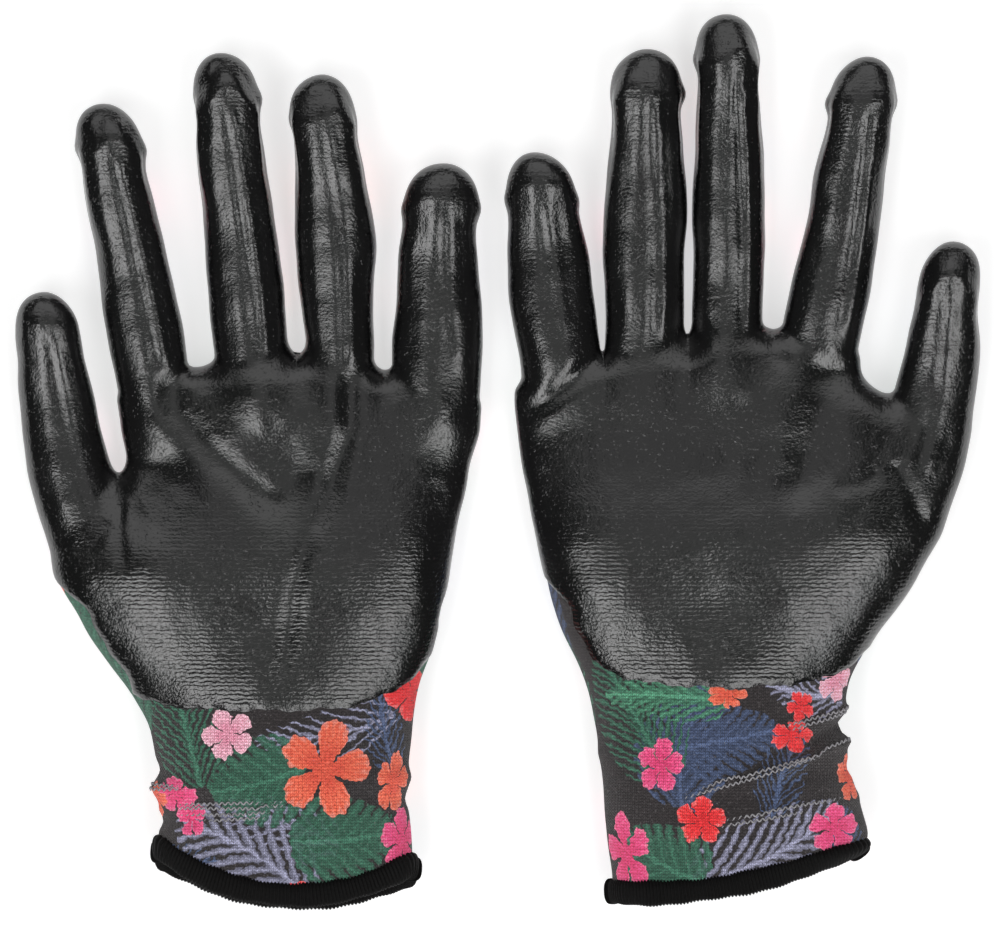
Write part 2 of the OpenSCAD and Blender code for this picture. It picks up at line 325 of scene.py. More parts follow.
class Stall:
    """What a finger of a glove needs: its joints, its loft, and how far along it any point is."""

    def __init__(self, side, finger):
        name = f"{side}_{finger}"
        self.name, self.finger = name, finger
        self.knuckle = joint_point(name + "_knuckle_bend")
        self.middle = joint_point(name + "_mid_bend")
        self.d_knuckle = joint_heading(name + "_knuckle_bend")
        self.d_middle = joint_heading(name + "_mid_bend")
        self.tip_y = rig.box(name + "_tip_coat")[1][1] / MM
        lower = [name + "_lower_liner", name + "_lower_coat"]
        tip = [name + "_tip_liner", name + "_tip_coat"]
        ky, my, py = self.knuckle[1], self.middle[1], self.tip_y - CAP
        low_line = self.line(lower, ky + 0.44 * (my - ky), ky + 0.56 * (my - ky))
        tip_line = self.line(tip, my + 0.4 * (py - my), py - 0.5)
        at_knuckle, at_pad = low_line(ky), tip_line(py)
        at_middle = (low_line(my) + tip_line(my)) / 2
        stations = [(y, *v) for y, v in ((ky, at_knuckle), (my, at_middle), (py, at_pad))]
        beyond = tip_line(self.tip_y)
        stations.append((self.tip_y, beyond[0], at_pad[1] + 0.4, at_pad[2], at_pad[3]))
        # The root runs back into the palm, and turns from the lower part's heading there.
        toward = self.middle - self.knuckle
        toward = toward / np.linalg.norm(toward)
        back = 2 * np.dot(toward, self.d_knuckle) * self.d_knuckle - toward
        length = 36.0 if finger == "thumb" else 34.0
        root = self.knuckle - back * length
        rise, swell, high = (2.5, 1.12, 1.0) if finger == "thumb" else (-0.4, 0.88, -0.4)
        stations.append((root[1], root[0], at_knuckle[1] + rise, at_knuckle[2] * swell, at_knuckle[3] + high))
        self.loft = Loft(stations, STALL_POWER, (ROOT_DOME, CAP), (4.0, 4.0))
        # The stall stops being joined to its neighbours here, so it may turn from here on.
        self.seam_low = (SEAMS[name] - self.knuckle[1]) * abs(self.d_knuckle[1])
        span = (self.middle - self.knuckle) @ toward
        self.turn_end = self.seam_low + TURN
        self.seam_mid = (self.turn_end + span - TURN / 2) / 2

    @staticmethod
    def line(nodes, y0, y1):
        """Centre and half sizes as straight functions of y, from the CAD's sections at y0 and y1."""
        ends = []
        for y in (y0, y1):
            x_low, x_high, z_low, z_high = cad_section(nodes, y)
            ends.append(np.array([(x_low + x_high) / 2, (z_low + z_high) / 2,
                                  (x_high - x_low) / 2, (z_high - z_low) / 2]))
        return lambda y: ends[0] + (ends[1] - ends[0]) * (y - y0) / (y1 - y0)

    def along(self, p):
        """Distance past the knuckle joint, along the stall's heading there."""
        return (p - self.knuckle) @ self.d_knuckle

    def from_tip(self, p):
        return self.tip_y - p[:, 1]

    def offset(self, p):
        """Sideways distance from the stall's middle, over its half width there."""
        cx, _, a, _ = self.loft.at(p[:, 1])
        return (p[:, 0] - cx) / a


# ---------------------------------------------------------------- creases

def polyline_distance(p, points):
    """Distance in plan from each point to a chain of points, and how far along it is, from 0 to 1."""
    best = np.full(len(p), 1e9)
    share = np.zeros(len(p))
    points = [np.array(q, float) for q in points]
    lengths = [np.linalg.norm(b - a) for a, b in zip(points, points[1:])]
    total, done = sum(lengths), 0.0
    for (a, b), length in zip(zip(points, points[1:]), lengths):
        t = np.clip((p[:, :2] - a) @ (b - a) / length ** 2, 0, 1)
        d = np.linalg.norm(p[:, :2] - a - t[:, None] * (b - a), axis=1)
        near = d < best
        best = np.where(near, d, best)
        share = np.where(near, (done + t * length) / total, share)
        done += length
    return best, share


# Creases in the palm side of the coat: depth, half width, and the points that each runs through.
CREASES = {
    "left": [
        (1.8, 3.4, [(-91, 26), (-88, 14), (-81, 5.5), (-74, -1), (-67, -7), (-58, -15)]),
        (1.4, 2.6, [(-41, 26), (-41, 10), (-44, 0), (-46, -8), (-49, -15), (-54, -24)]),
        (0.8, 2.4, [(-52, -18), (-56, -36), (-58, -50), (-59, -62)]),
        (0.8, 1.8, [(-103.5, -10), (-103.5, -20), (-102.5, -31)]),
        (1.6, 5.2, [(-102, -15), (-95, -15), (-91, -6), (-93, 6)]),
        (0.5, 2.2, [(-106, -16), (-112, -23), (-118, -25)]),
        (0.8, 2.6, [(-81, 29), (-80.5, 18)]),
        (0.9, 3.4, [(-31, 28), (-28, 16)]),
        (0.7, 3.4, [(-19, -4), (-16, -22), (-19, -40)]),
    ],
    "right": [
        (1.4, 2.4, [(5, 13), (13, 17), (21, 23), (27, 31)]),
        (0.9, 2.0, [(73.5, 39), (76, 30), (79, 25)]),
        (2.6, 5.6, [(93, 30), (87, 12), (84, -2), (78, -16)]),
        (0.9, 2.6, [(104, -2), (98, -5.5), (90, -7)]),
        (0.9, 2.2, [(107, 1), (112, -9), (116, -19)]),
        (0.6, 3.2, [(13, -6), (14, -24), (18, -42)]),
    ],
}
# Low mounds and hollows of the palm: height, radius and place.
MOUNDS = {
    "left": [(1.5, 13, (-100, -30)), (1.1, 9, (-26, -20)), (1.1, 10, (-32, -37)), (-1.6, 14, (-62, -8)),
             (-1.0, 13, (-64, -42)), (1.3, 8, (-67, 18)), (0.8, 7, (-18, 12))],
    "right": [(1.5, 14, (96, -18)), (1.1, 11, (24, -16)), (1.0, 11, (31, -38)), (-1.2, 20, (56, 0)),
              (-0.8, 14, (60, -38)), (0.8, 9, (62, 26)), (0.7, 8, (14, 28)), (-2.0, 6.5, (50, 35))],
}
# The wrist is level across its middle: how far it is filled, over what radius, and where.
FILL = {"left": (3.5, 34, -64, -84), "right": (3.5, 33, 60, -82)}
# Ridges along the stalls: place across, from near the tip to the root, then height and half width.
RIDGES = {
    "left_index": (0.30, 0.45, 0.35, 0.13), "left_middle": (0.22, 0.45, 0.4, 0.12),
    "left_ring": (0.20, 0.40, 0.25, 0.14), "left_little": (0.35, 0.55, 0.3, 0.16),
    "right_index": (0.45, 0.62, 0.45, 0.12), "right_middle": (0.42, 0.60, 0.45, 0.12),
    "right_ring": (0.30, 0.50, 0.35, 0.12), "right_little": (0.15, 0.30, 0.25, 0.15),
    "left_thumb": (0.35, 0.50, 0.25, 0.15), "right_thumb": (0.05, 0.20, 0.3, 0.14),
}


class Glove:
    """One glove's outside, as a field of signed distances: a palm and cuff, and five stalls."""

    def __init__(self, side):
        self.side = side
        self.sign = -1 if side == "left" else 1
        self.stalls = [Stall(side, f) for f in FINGERS]
        self.wrist = joint_point(side + "_wrist_bend")
        self.seam_y = self.wrist[1] + CUFF_START
        thumb = self.stalls[0]
        palm_nodes = [side + "_palm_liner", side + "_palm_coat"]
        cuff_nodes = [side + "_cuff_liner"]
        self.webs = np.array(WEBS[side], float)
        web_y = self.webs[:, 1].min()
        span = self.wrist[1] - thumb.knuckle[1]
        # The palm's levels, then how much it is narrowed and how high it may be there.
        levels = [(web_y - 1, 3.0, 14.5), (web_y - 13, 1.0, 18.0), (web_y - 25, 0, 20.2)]
        levels += [(thumb.knuckle[1] + f * span, 0, 99) for f in (0.32, 0.45, 0.6, 0.78, 0.93)]
        stations = []
        for y, narrow, top in levels:
            x_low, x_high, _, z_high = cad_section(palm_nodes, y)
            x_low, x_high, z_high = x_low + narrow, x_high - narrow, min(z_high, top)
            bare = 0 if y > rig.box(side + "_palm_coat")[0][1] / MM else COAT_T
            stations.append(self.station(y, x_low - bare, x_high + bare, z_high + bare))
        low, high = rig.box(side + "_cuff_liner")
        for y in np.linspace(self.wrist[1] - 6, high[1] / MM - 34, 8):
            x_low, x_high, _, z_high = cad_section(cuff_nodes, y)
            stations.append(self.station(y, x_low - COAT_T, x_high + COAT_T, z_high + COAT_T))
        last = stations[-1]
        stations.append((low[1] / MM - 10, *last[1:]))
        # The web end is domed, and reaches the webs between the stalls.
        stations.append((web_y, *stations[0][1:]))
        self.loft = Loft(stations, PALM_POWER, (1.0, 8.0), (3.0, 7.0))
        self.web_y = web_y

    @staticmethod
    def station(y, x_low, x_high, z_high):
        """A station that reaches a little below the floor, so that the glove's back is flat there."""
        sink = 1.2
        return y, (x_low + x_high) / 2, (z_high - sink) / 2, (x_high - x_low) / 2, (z_high + sink) / 2

    def palm(self, p):
        """Signed distance to the palm and cuff alone. The palm's far end follows the webs."""
        web = np.interp(p[:, 0], self.webs[:, 0], self.webs[:, 1])
        q = p.copy()
        q[:, 1] -= (web - self.web_y) * smooth((p[:, 1] + 5) / 25)
        return self.loft.distance(q)

    def stall_distances(self, p):
        """Signed distance to each stall, a row for each."""
        return np.stack([s.loft.distance(p) for s in self.stalls])

    def base(self, p, stalls=None):
        """Signed distance to the glove's outside before its creases."""
        palm = self.palm(p)
        if stalls is None:
            stalls = self.stall_distances(p)
        d = soft_min(palm, stalls.min(0), WEB_BLEND)
        # The back lies flat on the surface below.
        return -soft_min(-d, p[:, 2], 1.5)

    def relief(self, p, stalls):
        """How far the surface stands out from its base."""
        z = p[:, 2]
        up = smooth((z - 9.0) / 9.0)
        out = np.zeros(len(p))
        hand = up * smooth((p[:, 1] + 72) / 8)
        for depth, width, points in CREASES[self.side]:
            d, share = polyline_distance(p, points)
            fade = np.minimum(smooth(share / 0.15 + 0.15), smooth((1 - share) / 0.25))
            groove = -depth * bell(d / width)
            lips = 0.14 * depth * bell((d - 1.9 * width) / width)
            out += (groove + lips) * fade * hand
        for height, radius, (x, y) in MOUNDS[self.side]:
            d = np.hypot(p[:, 0] - x, p[:, 1] - y)
            out += height * bell(d / radius) * hand
        height, radius, x, y = FILL[self.side]
        d = np.hypot(p[:, 0] - x, p[:, 1] - y)
        out += height * np.exp(-(d / radius) ** 4) * up
        out += self.ripple(p)
        order = np.sort(stalls, axis=0)
        for s, d in zip(self.stalls, stalls):
            margin = np.where(d <= order[0], order[1], order[0]) - d
            out += self.stall_relief(s, p) * smooth(0.5 + margin / 0.8)
        out += self.cuff_relief(p)
        return out

    def ripple(self, p):
        """The slow unevenness of a dipped glove."""
        x, y, z = p[:, 0] * 0.1, p[:, 1] * 0.1, p[:, 2] * 0.1
        s = 3.0 * self.sign
        a = np.sin(1.9 * x + 1.1 * y + s) * np.sin(1.3 * y - 0.7 * x + 2.1 * z)
        b = np.sin(4.1 * x - 1.7 * y + 1.0) * np.sin(3.3 * y + 2.2 * x - s)
        c = np.sin(1.1 * x + 0.5 * s) * np.sin(1.5 * y + 0.6 * x)
        return 0.24 * a + 0.09 * b + 0.3 * c

    def stall_relief(self, s, p):
        """The shape of one stall: its cap's ears, and its top's climb, streaks and ridge."""
        t = s.from_tip(p)
        near = (t > -4) & (t < 90) & (s.along(p) > -12) & (np.abs(s.offset(p)) < 1.5)
        out = np.zeros(len(p))
        if not near.any():
            return out
        q = p[near]
        t, u = t[near], s.offset(q)
        _, cz, _, b = s.loft.at(q[:, 1])
        h = (q[:, 2] - cz) / b
        r = np.zeros(len(q))
        # The cap ends in a small ear on each side, and the stall is a little narrower behind it.
        ear = 0.25 if s.finger == "thumb" else 0.9
        for way, much in ((-1, EARS[s.name][0]), (1, EARS[s.name][1])):
            spot = np.exp(-((t - 12.5) / 2.6) ** 2 - ((u - way) / 0.42) ** 2 - ((h + 0.1) / 0.6) ** 2)
            r += ear * much * spot
        r -= 0.35 * bell((t - 19) / 5.0) * np.abs(u)
        # Its top climbs a little towards the cap, and has fine streaks and a ridge along it.
        past = np.clip(s.along(q), 0, 80) - 24
        run = (past + np.sqrt(past * past + 120)) / 2
        up = smooth((h - 0.3) / 0.5)
        phase = 2.0 * s.knuckle[0]
        arch = t - 5.0 * u * u + 1.9 * np.sin(3.4 * u + phase)
        climb = 0.015 if s.name == "left_thumb" else 0.046
        r += climb * run * up * smooth((arch - 4) / 8.5)
        r += 0.05 * np.sin(13.0 * u + 0.05 * t + phase) * up
        near_tip, near_root, height, width = RIDGES[s.name]
        place = near_tip + (near_root - near_tip) * np.clip((t - 14) / 50, 0, 1)
        groove = 0.7 * height * bell((u - place + 0.27) / 0.11)
        r += (height * bell((u - place) / width) - groove) * smooth((t - 13) / 6) * up
        # A slight step shows where the cap ends.
        r += 0.1 * smooth((13.5 - arch) / 3.0)
        out[near] = r * smooth((1.5 - np.abs(u)) / 0.35) * smooth((s.along(q) + 12) / 8)
        return out

    def cuff_relief(self, p):
        """The slack cuff's folds."""
        out = np.zeros(len(p))
        x, y = p[:, 0], p[:, 1]
        below = smooth((self.seam_y + 6 - y) / 8)
        if not (below > 0).any():
            return out
        for level, height, width, slope, where, spread in FOLDS[self.side]:
            line = level + slope * (x - self.wrist[0]) + 0.8 * np.sin(x * 0.21 + level)
            out += height * bell((y - line) / width) * bell((x - where) / spread)
        return out * below

    def field(self, p):
        """Signed distance to the glove's outside."""
        stalls = self.stall_distances(p)
        return self.base(p, stalls) - self.relief(p, stalls)

    def gradient(self, p):
        g = np.empty_like(p)
        e = 0.15
        for k in range(3):
            q = p.copy()
            q[:, k] += e
            up = self.field(q)
            q[:, k] -= 2 * e
            g[:, k] = (up - self.field(q)) / (2 * e)
        return g

    def settle(self, p, rounds=3):
        """Moves points onto the surface, and gives its normals there."""
        for _ in range(rounds):
            g = self.gradient(p)
            slope2 = np.maximum((g * g).sum(1), 0.04)
            step = self.field(p) / slope2
            p = p - np.clip(step, -2, 2)[:, None] * g
        return p, unit(self.gradient(p))


# How strongly each stall's cap is eared on its left and right.
EARS = {
    "left_thumb": (0.5, 0.5), "left_index": (1.3, 1.0), "left_middle": (0.5, 1.4), "left_ring": (0.9, 0.3),
    "left_little": (0.9, 0.9), "right_thumb": (0.5, 0.6), "right_index": (1.7, 1.1),
    "right_middle": (1.4, 0.5), "right_ring": (0.4, 1.5), "right_little": (0.8, 0.9),
}
# Folds across each cuff: level at the wrist's middle, height, half width, slope, place and spread along x.
FOLDS = {
    "left": [(-88.5, 1.8, 2.4, 0.0, -93, 15), (-95.5, -1.4, 1.8, 0.05, -80, 26),
             (-83.5, -1.1, 2.0, 0.0, -90, 20), (-86, 1.2, 2.4, 0.0, -28, 14),
             (-92, -1.0, 2.0, 0.0, -30, 16), (-93.2, 0.6, 0.9, 0.05, -72, 22)],
    "right": [(-76, 2.0, 1.6, 0.25, 92, 13), (-86.7, 2.6, 1.7, 0.287, 84, 22),
              (-81.5, -2.2, 1.8, 0.27, 90, 18), (-91.5, -1.4, 2.0, 0.25, 84, 24),
              (-96.8, 1.0, 1.8, 0.17, 80, 22), (-80, 0.5, 2.5, 0.0, 30, 12)],
}
# Each band of elastic: level at the wrist's middle, slope, and where along x it comes up to the surface.
BANDS = {
    "left": [(-91.8, 0.04, -76, 12), (-93.2, 0.04, -77, 12), (-94.6, 0.05, -75, 12), (-96.0, 0.05, -72, 9),
             (-87.6, 0.0, -94, 6), (-89.0, 0.0, -94, 6)],
    "right": [(-75.5, 0.25, 88, 11), (-77.2, 0.25, 88, 9), (-86.2, 0.287, 74, 17), (-87.8, 0.287, 68, 18),
              (-96.6, 0.17, 78, 15), (-98.5, 0.17, 72, 12)],
}


# ---------------------------------------------------------------- meshing

def surface_nets(glove, low, high, cell):
    """The glove's base surface as quads: a point in each cell that it passes through."""
    axes = [np.arange(a, b + cell, cell) for a, b in zip(low, high)]
    shape = tuple(len(a) for a in axes)
    grid = np.stack(np.meshgrid(*axes, indexing="ij"), -1).reshape(-1, 3)
    val = np.concatenate([glove.base(part) for part in np.array_split(grid, 8)]).reshape(shape)
    inside = val < 0
    cells = [slice(0, -1), slice(1, None)]
    corners = {}
    count = np.zeros(tuple(n - 1 for n in shape), int)
    for i in (0, 1):
        for j in (0, 1):
            for k in (0, 1):
                corner = (cells[i], cells[j], cells[k])
                corners[i, j, k] = val[corner]
                count += inside[corner]
    active = (count > 0) & (count < 8)
    index = -np.ones(active.shape, int)
    index[active] = np.arange(active.sum())
    where = np.argwhere(active)
    total, hits = np.zeros((len(where), 3)), np.zeros(len(where))
    keys = list(corners)
    for a in keys:
        for b in keys:
            if sum(abs(p - q) for p, q in zip(a, b)) != 1 or a > b:
                continue
            va, vb = corners[a][active], corners[b][active]
            cross = (va < 0) != (vb < 0)
            t = np.where(cross, va / np.where(cross, va - vb, 1), 0)
            point = np.array(a) + t[:, None] * (np.array(b) - np.array(a))
            total += point * cross[:, None]
            hits += cross
    origin = np.array([a[0] for a in axes])
    verts = origin + (where + total / hits[:, None]) * cell
    quads = []
    for axis in range(3):
        u, v = [k for k in range(3) if k != axis]
        one = [slice(None)] * 3
        two = [slice(None)] * 3
        one[axis], two[axis] = slice(0, -1), slice(1, None)
        change = inside[tuple(one)] != inside[tuple(two)]
        at = np.argwhere(change)
        at = at[(at[:, u] > 0) & (at[:, v] > 0) & (at[:, u] < shape[u] - 1) & (at[:, v] < shape[v] - 1)]
        ring = []
        for du, dv in ((1, 1), (0, 1), (0, 0), (1, 0)):
            cell_at = at.copy()
            cell_at[:, u] -= du
            cell_at[:, v] -= dv
            ring.append(index[tuple(cell_at.T)])
        ring = np.stack(ring, 1)
        flip = inside[tuple(at.T)] == (axis == 1)
        ring[flip] = ring[flip][:, ::-1]
        quads.append(ring)
    quads = np.concatenate(quads)
    quads = quads[(quads >= 0).all(1)]
    return verts, quads


def sums(at, values, count):
    """Adds up the rows of values that belong to each point."""
    return np.stack([np.bincount(at, values[:, k], count) for k in range(3)], 1)


def relax(verts, quads, rounds):
    """Evens out the mesh: each point moves towards the middle of its neighbours."""
    edges = np.concatenate([quads[:, [k, (k + 1) % 4]] for k in range(4)])
    edges = np.concatenate([edges, edges[:, ::-1]])
    degree = np.bincount(edges[:, 0], minlength=len(verts)).astype(float)
    for _ in range(rounds):
        total = sums(edges[:, 0], verts[edges[:, 1]], len(verts))
        verts = verts * 0.4 + 0.6 * total / np.maximum(degree, 1)[:, None]
    return verts


def triangles(quads, verts):
    """Each quad as two triangles, split along its shorter diagonal."""
    a, b, c, d = quads.T
    short = np.linalg.norm(verts[a] - verts[c], axis=1) < np.linalg.norm(verts[b] - verts[d], axis=1)
    one = np.where(short[:, None], np.stack([a, b, c], 1), np.stack([a, b, d], 1))
    two = np.where(short[:, None], np.stack([a, c, d], 1), np.stack([b, c, d], 1))
    return np.concatenate([one, two])


def cut(verts, tris, tags, value):
    """Cuts triangles along value = 0, with new points there. Gives which lie above 0 too."""
    value = np.where(np.abs(value) < GRAIN, GRAIN, value)
    sign = value[tris] > 0
    mixed = sign.any(1) & ~sign.all(1)
    keep, work, s = tris[~mixed], tris[mixed], sign[mixed]
    # Each triangle is turned so that the corner that is alone on its side comes first.
    lone = np.where(s.sum(1) == 1, s.argmax(1), (~s).argmax(1))
    rows = np.arange(len(work))
    a, b, c = (work[rows, (lone + k) % 3] for k in range(3))
    ab = np.minimum(a, b) * len(verts) + np.maximum(a, b)
    ac = np.minimum(a, c) * len(verts) + np.maximum(a, c)
    names, place = np.unique(np.concatenate([ab, ac]), return_inverse=True)
    p, q = names // len(verts), names % len(verts)
    t = value[p] / (value[p] - value[q])
    added = verts[p] + (verts[q] - verts[p]) * t[:, None]
    place = place.ravel() + len(verts)
    m, n = place[:len(ab)], place[len(ab):]
    new = np.concatenate([np.stack([a, m, n], 1), np.stack([m, b, c], 1), np.stack([m, c, n], 1)])
    alone = value[a] > 0
    above = np.concatenate([sign[~mixed][:, 0], alone, ~alone, ~alone])
    tags = np.concatenate([tags[~mixed], tags[mixed], tags[mixed], tags[mixed]])
    return np.concatenate([verts, added]), np.concatenate([keep, new]), tags, above


def mesh_normals(verts, tris):
    a, b, c = (verts[tris[:, k]] for k in range(3))
    face = np.cross(b - a, c - a)
    n = sum(sums(tris[:, k], face, len(verts)) for k in range(3))
    return n / np.maximum(np.linalg.norm(n, axis=1), 1e-12)[:, None]


def add_object(name, data):
    """An object in the scene."""
    ob = bpy.data.objects.new(name, data)
    bpy.context.scene.collection.objects.link(ob)
    return ob


def new_object(name, verts, faces, normals=None, weave=None):
    """A mesh object from points in millimetres. Faces is an array of triangles or quads."""
    me = bpy.data.meshes.new(name)
    faces = np.asarray(faces)
    size = faces.shape[1]
    me.vertices.add(len(verts))
    me.vertices.foreach_set("co", (verts * MM).astype(np.float32).ravel())
    me.loops.add(faces.size)
    me.loops.foreach_set("vertex_index", faces.astype(np.int32).ravel())
    me.polygons.add(len(faces))
    me.polygons.foreach_set("loop_start", np.arange(0, faces.size, size, dtype=np.int32))
    me.polygons.foreach_set("use_smooth", np.ones(len(faces), bool))
    me.update()
    if weave is not None:
        layer = me.attributes.new("weave", "FLOAT_VECTOR", "POINT")
        layer.data.foreach_set("vector", weave.astype(np.float32).ravel())
    if normals is not None:
        me.normals_split_custom_set_from_vertices(normals.astype(np.float32))
    return add_object(name, me)


def shell(name, tris, outer, inner, normals, weave):
    """A closed shell from a patch of triangles: its outer face, its inner face, and the rim between them."""
    used, tris = np.unique(tris, return_inverse=True)
    tris = tris.reshape(-1, 3)
    n = len(used)
    edges = np.concatenate([tris[:, [k, (k + 1) % 3]] for k in range(3)])
    key = edges[:, 0] * n + edges[:, 1]
    back = edges[:, 1] * n + edges[:, 0]
    rim = edges[~np.isin(key, back)]
    # The rim has points of its own, so that its corner stays sharp.
    ring, at = np.unique(rim, return_inverse=True)
    at = at.reshape(-1, 2)
    top, low = 2 * n + at, 2 * n + len(ring) + at
    strip = np.concatenate([np.stack([top[:, 1], top[:, 0], low[:, 0]], 1),
                            np.stack([top[:, 1], low[:, 0], low[:, 1]], 1)])
    faces = np.concatenate([tris, tris[:, ::-1] + n, strip])
    po, pi, nn = outer[used], inner[used], normals[used]
    verts = np.concatenate([po, pi, po[ring], pi[ring]])
    out = mesh_normals(verts, strip)
    all_normals = np.concatenate([nn, -nn, out[2 * n:]])
    w = weave[used]
    return new_object(name, verts, faces, all_normals, np.concatenate([w, w, w[ring], w[ring]]))


def around(loft, p):
    """How much further each point is from its section's crown along the surface than in plan."""
    cx, cz, a, b = loft.at(np.clip(p[:, 1], loft.low, loft.high))
    n = loft.power
    dx, dz = (p[:, 0] - cx) / a, (p[:, 2] - cz) / b
    end = np.arctan2(signed_power(dz, n / 2), np.abs(dx) ** (n / 2))
    steps = np.linspace(0, 1, 17)[:, None]
    phi = math.pi / 2 + (end - math.pi / 2) * steps
    x = a * np.abs(np.cos(phi)) ** (2 / n)
    z = b * signed_power(np.sin(phi), 2 / n)
    length = np.hypot(np.diff(x, axis=0), np.diff(z, axis=0)).sum(0)
    return np.sign(dx) * (length - x[-1])


# ---------------------------------------------------------------- splitting a glove into its pieces

# The tag of each piece's triangles. Stall k's lower part is 10 + 2 k, and its tip is one more.
PALM, STALL, CUFF = 0, 10, 99


def dip_distance(side, p):
    """Distance inside the outline that the hand was dipped to."""
    angles = np.linspace(math.pi, 2 * math.pi, 49)
    ways = np.stack([np.cos(angles), np.sin(angles)])
    circles = np.array(DIPS[side], float)
    reach = (circles[:, :2] @ ways + circles[:, 2:]).max(0)
    return -(p[:, :2] @ ways - reach).max(1)


def owner(glove, p):
    """The nearest stall to each point, and how far along that stall it is."""
    d = np.stack([s.loft.distance(p) for s in glove.stalls], 1)
    nearest = d.argmin(1)
    along = np.stack([s.along(p) - s.seam_low for s in glove.stalls], 1)[np.arange(len(p)), nearest]
    # The thumb's plane runs on across the palm, so a point nearer to the palm isn't the thumb's.
    palm = glove.palm(p)
    along = np.where((nearest == 0) & (palm < d[:, 0] - 1.2), -20.0, along)
    return nearest, along


def coated(glove, p):
    """Above 0 where the nitrile covers the knit, as a distance from its edge."""
    nearest, along = owner(glove, p)
    # The dip stops higher up the sides of the heel, where the knit shows.
    outer = smooth((p[:, 0] - glove.wrist[0]) * glove.sign / 20 + 0.5)
    heel = smooth((p[:, 1] + 74) / 16) * smooth((-24 - p[:, 1]) / 16)
    little_side, thumb_side = BARE[glove.side]
    line = COAT_EDGE + heel * (little_side + (thumb_side - little_side) * outer)
    tip = np.full(len(p), -50.0)
    for k, s in enumerate(glove.stalls):
        mine = (nearest == k) & (along > -8)
        if mine.any():
            q = p[mine]
            _, cz, _, b = s.loft.at(q[:, 1])
            t = smooth((along[mine] + 8) / 10)
            line[mine] = line[mine] * (1 - t) + (cz - 0.3 * b) * t
            tip[mine] = (15.0 - s.from_tip(q)) * 0.9
    wave = 0.35 * np.sin(p[:, 1] * 0.31 + p[:, 0] * 0.12) + 0.2 * np.sin(p[:, 1] * 0.83 + 1.0)
    side = p[:, 2] - line + wave
    dip = dip_distance(glove.side, p) + 0.35 * np.sin(p[:, 0] * 0.42) + 0.25 * np.sin(p[:, 0] * 1.1 + 2.0)
    return np.maximum(np.minimum(side, dip), tip)


def mouth_arc(glove, z):
    """Centre x, centre y and radius of the arc that the cuff's mouth follows at height z."""
    x, y, r, lip = MOUTHS[glove.side]
    back = 1.0 + lip * smooth((z - 8) / 10)
    return x, y, r - back


def mouth_distance(glove, p):
    """Distance inside the cuff's mouth. Everything on the hand's side of the cuff is well inside."""
    x, y, r = mouth_arc(glove, p[:, 2])
    return np.where(p[:, 1] > glove.seam_y, 50.0, r - np.hypot(p[:, 0] - x, p[:, 1] - y))


def knit_weave(glove, p, n, nearest, finger):
    """Where each point lies on the flat knit, and how strongly the knit shows through a coat there."""
    u = p[:, 0] + around(glove.loft, p)
    show = 0.10 + 0.90 * smooth((2 - p[:, 1]) / 44)
    for k, s in enumerate(glove.stalls):
        mine = finger & (nearest == k)
        q = p[mine]
        u[mine] = q[:, 0] + around(s.loft, q)
        show[mine] = 0.28 * smooth((34 - s.from_tip(q)) / 16) + 0.07
    back = smooth((-n[:, 2] - 0.5) / 0.3) > 0.5
    u = np.where(back, 20.0 - p[:, 0], u)
    return np.stack([u, p[:, 1], show], 1)


def dress(ob, node, slot, looks):
    """Says which CAD node a piece replaces, and what it is made of."""
    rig.replaces(ob, node)
    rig.slot(ob, slot)
    ob.data.materials.append(looks)
    return ob


